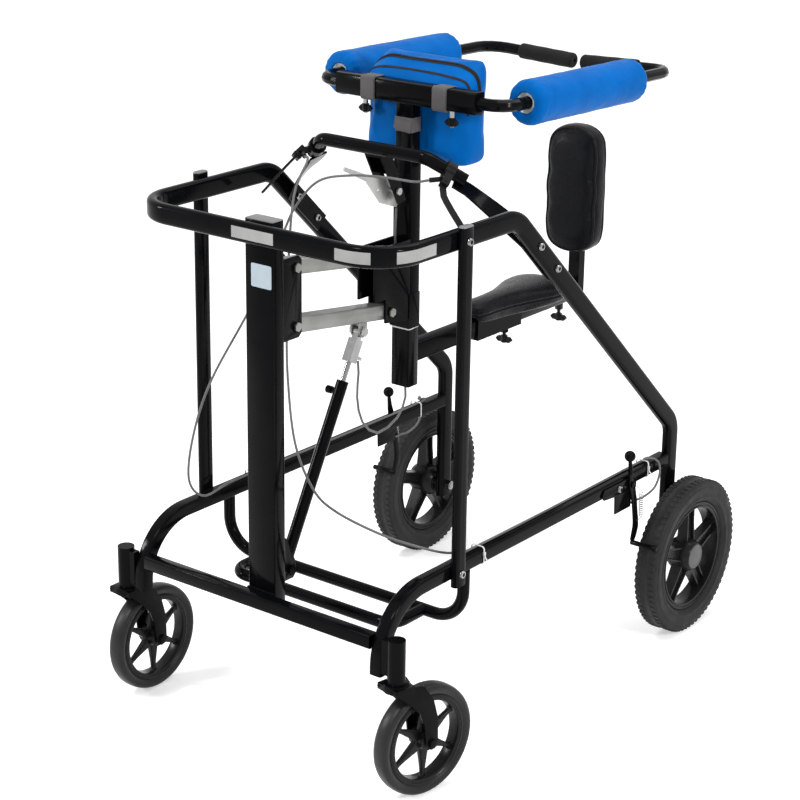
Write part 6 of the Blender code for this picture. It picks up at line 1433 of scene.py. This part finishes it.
@dataclass
class ParkingBrakes(SubAssembly):
    """The levers that press on the rear tyres, with their ball knobs and springs."""

    low: float = 0.2868
    high: float = 0.2908
    line: tuple[Flat, ...] = ((0.2310, 0.3700), (0.2345, 0.3550), (0.2377, 0.3405), (0.2437, 0.3220),
                              (0.2497, 0.3045), (0.2545, 0.2780), (0.2580, 0.2600), (0.2585, 0.2480),
                              (0.2540, 0.2330), (0.2490, 0.2217))
    halves: tuple[float, ...] = (0.0055, 0.0075, 0.0090, 0.0080, 0.0072, 0.0070, 0.0078, 0.0085,
                                 0.0075, 0.0055)
    neck: Flat = (0.2322, 0.3640)
    knob: Flat = (0.2265, 0.4010)
    ball: float = 0.0108
    shoe_reach: float = 0.3431
    shoe_radius: float = 0.0050
    spring_x: float = 0.2950
    spring_top: Flat = (0.2640, 0.3170)
    spring_foot: Flat = (0.2665, 0.2690)
    coil_radius: float = 0.0034
    coil_wire: float = 0.0007
    coil_turns: float = 12.0
    hook_wire: float = 0.0008
    edge: float = 0.0005

    def lever(self, name: str, side: float) -> None:
        """Makes one lever with its ball knob and shoe bar."""
        shape = Shape().band(self.line, self.halves, *sorted((side * self.low, side * self.high)))
        middle = side * (self.low + self.high) / 2
        start, top = Vector((middle, *self.neck)), Vector((middle, *self.knob))
        reach = (top - start).length
        profile = [(0.0, 0.0), (0.0052, 0.0), (0.0048, 0.008), (0.0036, reach - 0.012)]
        profile += [(self.ball * math.cos(a), reach + self.ball * math.sin(a))
                    for a in (math.radians(-70 + 16 * step) for step in range(10))]
        shape.revolve(profile + [(0.0, reach + self.ball)], start, (top - start).normalized(), 32)
        r, length = self.shoe_radius, self.shoe_reach - self.low
        bar = [(0.0, 0.0), (r, 0.0), (r, length - 0.0015), (r - 0.0015, length), (0.0, length)]
        shape.revolve(bar, (side * self.low, *SHOE_CENTRE), (side, 0, 0), 24)
        self.put(f"brake_arm_{name}", shape, BLACK_PAINT, f"parking_brake_{name}", "black_paint",
                 f"parking_brake_lever_{name}", edge=self.edge)

    def spring(self, name: str, side: float) -> None:
        """Makes the return spring, which stretches between the bracket and the lever."""
        top, foot = (Vector((side * self.spring_x, *place)) for place in (self.spring_top, self.spring_foot))
        way = top - foot
        coil = self.bench.rows.coil.run(BRIGHT_STEEL, Turns=self.coil_turns, Radius=self.coil_radius,
                                        Wire=self.coil_wire, Length=way.length)
        coil.transform(Matrix.Translation(foot) @ way.to_track_quat("Z", "Y").to_matrix().to_4x4())
        coil.shade_smooth()
        spring = self.put(f"brake_spring_{name}", coil, None, "")
        hooks = (("spring_hook", top, 0.006, "frame", ((0.2900, 0.2590, 0.3290), (0.2850, 0.2550, 0.3340))),
                 ("spring_end", foot, -0.004, f"parking_brake_{name}",
                  ((0.2930, 0.2620, 0.2620), (0.2890, 0.2585, 0.2600))))
        for kind, place, rise, body, ends in hooks:
            wire = smooth_line([place + Vector((self.coil_radius * side, 0, 0)), place + rise * UP,
                                *(Vector((side * x, y, z)) for x, y, z in ends)], 5)
            self.put(f"{kind}_{name}", Shape().tube(wire, self.hook_wire, 8), BRIGHT_STEEL, body)
        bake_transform(spring)

    def build(self) -> None:
        """Makes both levers and springs."""
        for name, side in SIDES:
            self.lever(name, side)
            self.spring(name, side)


@dataclass
class FrameTrim(SubAssembly):
    """Caps, blank labels, cable ties, bolt heads, welds and screw sleeves."""

    upright: Three = (0.2903, -0.319, 0.955)
    mast: Three = (0.0, -0.4802, 0.951)
    mast_label: Three = (0.006, -0.49535, 0.858)
    ring_z: float = 0.931
    ring_out: float = 0.08825
    ring_corner: Flat = (0.1945, -0.4275)
    label_tall: float = 0.0195
    ring_labels: tuple[tuple[str, float, float], ...] = (
        ("corner", -0.0170, 0.0480), ("side", 0.0900, 0.1780), ("front", -0.2350, -0.1450))
    # How steeply the sides fall behind the knee, and the knee's Y.
    slope: Flat = (0.932, -0.152)
    rail: Flat = (0.270, 0.3475)
    tie_loop: Three = (0.0268, 0.0318, 0.005)
    tie_band: Three = (0.0034, 0.0011, 0.0004)
    tie_places: tuple[tuple[str, float, float], ...] = (
        ("front_right", -1.0, -0.2174), ("front_left", 1.0, -0.2341),
        ("rear_left", 1.0, 0.3048), ("rear_right", -1.0, 0.2950))
    column_tie_place: Flat = (-0.098, 0.679)

    def cap(self, name: str, centre: Three, size: Flat, corner: float, tall: float) -> None:
        """Makes a low domed cap on the end of a frame tube that stands up.

        Args:
            name: The cap's name.
            centre: The middle of its foot.
            size: Its width and depth.
            corner: The radius of its corners.
            tall: Its height.
        """
        x, y, z = centre
        rings = [[Vector((x + a, y + b, z + rise * tall))
                  for a, b in rounded_box(size[0] * share, size[1] * share, corner * share, 5)]
                 for rise, share in ((0.0, 1.0), (0.45, 1.0), (0.8, 0.94), (1.0, 0.80))]
        self.put(name, Shape().loft(rings), TOP_GREY, "frame", sharp=50.0)

    def ring_spot(self, distance: float) -> tuple[Vector, Vector]:
        """Follows the outside of the ring from where its left corner starts.

        Args:
            distance: How far along, below zero on the straight front.

        Returns:
            The point and the outward direction.
        """
        x, y = self.ring_corner
        turn = self.ring_out * math.pi / 2
        if distance < 0:
            return Vector((x + distance, y - self.ring_out, self.ring_z)), -BACK
        if distance > turn:
            return Vector((x + self.ring_out, y + distance - turn, self.ring_z)), LEFT
        angle = distance / self.ring_out
        out = Vector((math.sin(angle), -math.cos(angle), 0))
        return Vector((x, y, self.ring_z)) + out * self.ring_out, out

    def labels(self) -> None:
        """Lays the blank labels on the outside of the ring and the front of the mast."""
        for name, start, end in self.ring_labels:
            spots = [self.ring_spot(start + (end - start) * step / 24) for step in range(25)]
            section = rounded_box(self.label_tall, 0.0004, 0.0001, 1)
            shape = Shape().sweep([spot for spot, _ in spots], section, [out for _, out in spots])
            self.put(f"ring_label_{name}", shape, BLANK_FOIL, "frame")
        x, y, z = self.mast_label
        rings = [[Vector((x + a, y - depth, z + b)) for a, b in rounded_box(0.044, 0.040, 0.003, 4)]
                 for depth in (0.0, 0.0003)]
        self.put("mast_label", Shape().loft(rings), BLANK_PAPER, "frame")

    def tie(self, name: str, side: float, y: float) -> None:
        """Makes a nylon tie round a rail and its cable."""
        x, z = side * self.rail[0], self.rail[1]
        path = [Vector((x + a, y, z + 0.0024 + b)) for a, b in rounded_box(*self.tie_loop, 5)]
        shape = Shape().hoop(path, rounded_box(*self.tie_band, 2), -BACK)
        head = Vector((x + side * 0.0142, y, z + 0.006))
        shape.loft([[head + Vector((a, b, rise)) for a, b in rounded_box(0.0040, 0.0052, 0.0010, 2)]
                    for rise in (-0.0028, 0.0028)])
        tail = smooth_line([head + Vector((side * a, b, c)) for a, b, c in (
            (0.0008, 0, -0.002), (0.003, 0, -0.008), (0.007, 0.001, -0.012))], 5)
        shape.sweep(tail, rounded_box(0.0030, 0.0009, 0.0003, 2), [Vector((side, 0, 0.3))] * len(tail))
        self.put(f"cable_tie_{name}", shape, WHITE_NYLON, "frame")

    def column_tie(self) -> None:
        """Makes the nylon tie that holds the release cable to the column."""
        y, z = self.column_tie_place
        path = [Vector((a, y + b, z + 0.06 * b)) for a, b in rounded_box(0.0412, 0.0312, 0.004, 5)]
        self.put("column_tie", Shape().hoop(path, rounded_box(0.0042, 0.0009, 0.0003, 2), UP),
                 WHITE_NYLON, "column")

    def bolts(self) -> None:
        """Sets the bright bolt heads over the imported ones."""
        head = Shape().revolve([(0.0, -0.001), (0.0070, -0.001), (0.0071, 0.0022), (0.0060, 0.0042),
                                (0.0036, 0.0046), (0.0034, 0.0030), (0.0, 0.0030)], (0, 0, 0), UP, 24)
        points, ways = [], []
        steepness, knee = self.slope
        for side in (1.0, -1.0):
            spots = [(0.2978, -0.319, z, side) for z in (0.3475, 0.931)]
            for y in (-0.036, -0.090):
                z = self.ring_z - steepness * (y - knee)
                spots += [(0.2828, y, z, side), (0.2580, y, z, -side)]
            spots.append((0.2858, 0.1987, 0.3420, side))
            points += [(side * x, y, z) for x, y, z, _ in spots]
            ways += [(way, 0, 0) for *_, way in spots]
        mesh = self.bench.rows.heads.run(BRIGHT_STEEL, points, ways=ways, bit=head.mesh("bolt_head", 35.0))
        mesh.set_sharp_from_angle(angle=math.radians(35))
        self.put("bolt_heads", mesh, None, "frame")

    def welds(self) -> None:
        """Lays the weld beads at the foot of the mast."""
        x, y, low, high = 0.0302, -0.4952, 0.2690, 0.2937
        corners = [Vector(corner) for corner in ((-x, y, low), (-x, y, high), (x, y, high), (x, y, low))]
        line = []
        for first, second in zip(corners, corners[1:]):
            steps = max(4, int((second - first).length / 0.002))
            line += [first.lerp(second, step / steps) for step in range(steps)]
        rings = []
        for index, point in enumerate(line):
            size = 0.0022 + 0.0004 * math.sin(index * 1.9)
            ahead = (line[min(index + 1, len(line) - 1)] - line[max(index - 1, 0)]).normalized()
            across = ahead.cross(BACK)
            rings.append([point + across * a + b * BACK for a, b in circle(size, 8)])
        self.put("mast_weld", Shape().loft(rings), BLACK_PAINT, "frame")

    def screw_sleeve(self, name: str) -> None:
        """Makes the bright shank and end cap of one armrest knob."""
        low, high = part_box(f"armrest_knob_{name}")
        middle = ((low.x + high.x) / 2, (low.y + high.y) / 2, 0)
        shank = [(0.0036, 1.0712), (0.0045, 1.0712), (0.0045, 1.0824), (0.0036, 1.0824)]
        end = [(radius, low.z + rise) for radius, rise in (
            (0.0, -0.0024), (0.0030, -0.0022), (0.0046, -0.0008), (0.0048, 0.0004), (0.0, 0.0004))]
        shape = Shape().revolve(shank, middle, UP, 24).revolve(end, middle, UP, 24)
        self.put(f"knob_shank_{name}", shape, BRIGHT_STEEL, f"armrest_knob_{name}", sharp=35.0)

    def build(self) -> None:
        """Makes all the trim."""
        x, y, z = self.upright
        for name, side in SIDES:
            self.cap(f"upright_cap_{name}", (side * x, y, z), (0.0150, 0.0300), 0.0070, 0.0026)
            self.screw_sleeve(name)
        self.bolts()
        self.welds()
        self.cap("mast_cap", self.mast, (0.0600, 0.0300), 0.0032, 0.0018)
        self.labels()
        for tie_place in self.tie_places:
            self.tie(*tie_place)
        self.column_tie()


@dataclass
class Repaint(SubAssembly):
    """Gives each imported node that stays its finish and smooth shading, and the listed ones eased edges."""

    eased: tuple[str, ...] = ("front_mast", "front_beam", "chest_post", "lift_arm_lower", "lift_arm_upper",
                              "lift_bracket", "lift_column", "seat_arm", "caster_fork_left",
                              "caster_fork_right", "parking_brake_bracket_left",
                              "parking_brake_bracket_right")
    looks: tuple[tuple[Finish, tuple[str, ...]], ...] = (
        (SILVER_ARM, ("lift_arm",)), (ZINC, ("release_lever",)), (CABLE_GREY, ("release_cable",)),
        (BRIGHT_STEEL, ("gas_strut_rod", "rear_axle")),
        (BLACK_PLASTIC, ("brake_lever", "armrest_knob", "seat_knob", "backrest_knob")))
    edge: float = 0.0007

    def finish_of(self, node: str) -> Finish:
        """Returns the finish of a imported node."""
        return next((finish for finish, starts in self.looks if node.startswith(starts)), BLACK_PAINT)

    def build(self) -> None:
        """Paints the nodes."""
        for name, item in self.bench.nodes.items():
            if item.hide_render:
                continue
            finish = self.finish_of(name)
            for slot in item.material_slots:
                slot.material = finish.material()
            item.modifiers.new("Merged", "NODES").node_group = self.bench.rows.whole
            if name in self.eased:
                edge = item.modifiers.new("Eased edges", "BEVEL")
                edge.width = self.edge
                edge.segments = 2
                edge.limit_method = "ANGLE"
                edge.angle_limit = math.radians(40)
                edge.use_clamp_overlap = True
            item.modifiers.new("Smooth", "NODES").node_group = self.bench.rows.smooth
            LOG.info("%s is painted with %s", name, finish.name)


@dataclass(frozen=True)
class Studio:
    """The floor, the light and the camera. Angles are in degrees."""

    place: Three = (2.276, -3.069, 1.843)
    azimuth: float = 37.57
    elevation: float = 19.26
    roll: float = 0.77
    lens: float = 97.71
    floor_half: float = 40.0
    floor_z: float = -0.0004
    floor_grey: float = 0.86
    floor_glow: float = 0.42
    daylight: float = 0.50
    backdrop: float = 1.0
    aim: Three = (0.0, 0.0, 0.6)
    lamps: tuple[tuple[str, str, float, Three, float], ...] = (
        ("key", "SUN", 1.30, (-1.2, -2.4, 4.6), math.radians(12)),
        ("left_box", "AREA", 42.0, (-2.6, -2.2, 1.6), 0.40),
        ("right_box", "AREA", 52.0, (2.9, -0.6, 1.9), 0.38),
        ("top_box", "AREA", 30.0, (0.4, 0.9, 3.2), 1.2))

    def camera(self) -> None:
        """Makes the camera at the photograph's angle."""
        a, e, r = (math.radians(angle) for angle in (self.azimuth, self.elevation, self.roll))
        right = Vector((math.cos(a), math.sin(a), 0))
        ahead = Vector((-math.sin(a) * math.cos(e), math.cos(a) * math.cos(e), -math.sin(e)))
        up = right.cross(ahead)
        right, up = (math.cos(r) * right + math.sin(r) * up, -math.sin(r) * right + math.cos(r) * up)
        data = bpy.data.cameras.new("camera")
        data.sensor_width = 36.0
        data.lens = self.lens
        item = linked("camera", data)
        turn = Matrix((right, up, -ahead)).transposed()
        item.matrix_world = Matrix.Translation(self.place) @ turn.to_4x4()
        bpy.context.scene.camera = item

    @staticmethod
    def seen_directly(wires: Wiring) -> Socket:
        """Returns 1 for rays from the camera, off gloss or through glass."""
        rays = wires.add("ShaderNodeLightPath").outputs
        either = wires.maths("MAXIMUM", rays["Is Camera Ray"], rays["Is Glossy Ray"])
        return wires.maths("MAXIMUM", either, rays["Is Transmission Ray"])

    def floor(self) -> None:
        """Makes the pale floor."""
        half, z = self.floor_half, self.floor_z
        mesh = bpy.data.meshes.new("floor")
        mesh.from_pydata([(-half, -half, z), (half, -half, z), (half, half, z), (-half, half, z)], [],
                         [(0, 1, 2, 3)])
        paint = bpy.data.materials.new("pale_floor")
        wires = Wiring.of(paint)
        grey = self.floor_grey
        plain = wires.out("ShaderNodeBsdfDiffuse", {"Color": (grey, grey, grey, 1.0)})
        glow = wires.out("ShaderNodeEmission", {"Color": (1.0, 1.0, 1.0, 1.0), "Strength": self.floor_glow})
        both = wires.out("ShaderNodeAddShader", {0: plain, 1: glow})
        mixed = wires.out("ShaderNodeMixShader", {0: self.seen_directly(wires), 1: plain, 2: both})
        wires.add("ShaderNodeOutputMaterial", {"Surface": mixed})
        mesh.materials.append(paint)
        linked("floor", mesh)

    def world(self) -> None:
        """Makes the plain white surroundings."""
        world = bpy.data.worlds.new("studio")
        bpy.context.scene.world = world
        wires = Wiring.of(world)
        lit, shown = (wires.out("ShaderNodeBackground", {"Color": (1.0, 1.0, 1.0, 1.0), "Strength": strength})
                      for strength in (self.daylight, self.backdrop))
        mixed = wires.out("ShaderNodeMixShader", {0: self.seen_directly(wires), 1: lit, 2: shown})
        wires.add("ShaderNodeOutputWorld", {"Surface": mixed})

    def light(self) -> None:
        """Makes the lamps, which point at the middle of the walker."""
        for name, kind, power, place, size in self.lamps:
            data = bpy.data.lights.new(name, kind)
            data.energy = power
            if kind == "SUN":
                data.angle = size
            else:
                data.shape = "RECTANGLE"
                data.size = size
                data.size_y = size * 1.6
            item = linked(name, data)
            item.location = place
            item.rotation_mode = "QUATERNION"
            item.rotation_quaternion = (Vector(self.aim) - Vector(place)).to_track_quat("-Z", "Y")

    def build(self) -> None:
        """Makes the stage."""
        self.camera()
        self.floor()
        self.world()
        self.light()
        bpy.context.scene.view_settings.view_transform = "Standard"


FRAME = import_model()
JOINTS: list[dict[str, Any]] = FRAME["joints"]


def main() -> None:
    """Builds the scene, one sub-assembly after another."""
    logging.basicConfig(level=logging.INFO, format="%(message)s")
    Studio().build()
    bench = Bench(FRAME)
    for kind in (ChestPad, ArmSupports, Seat, Wheels, BentTubes, ParkingBrakes, FrameTrim, Repaint):
        kind(bench).build()
        LOG.info("%s is done", kind.__name__)


if __name__ == "__main__":
    main()
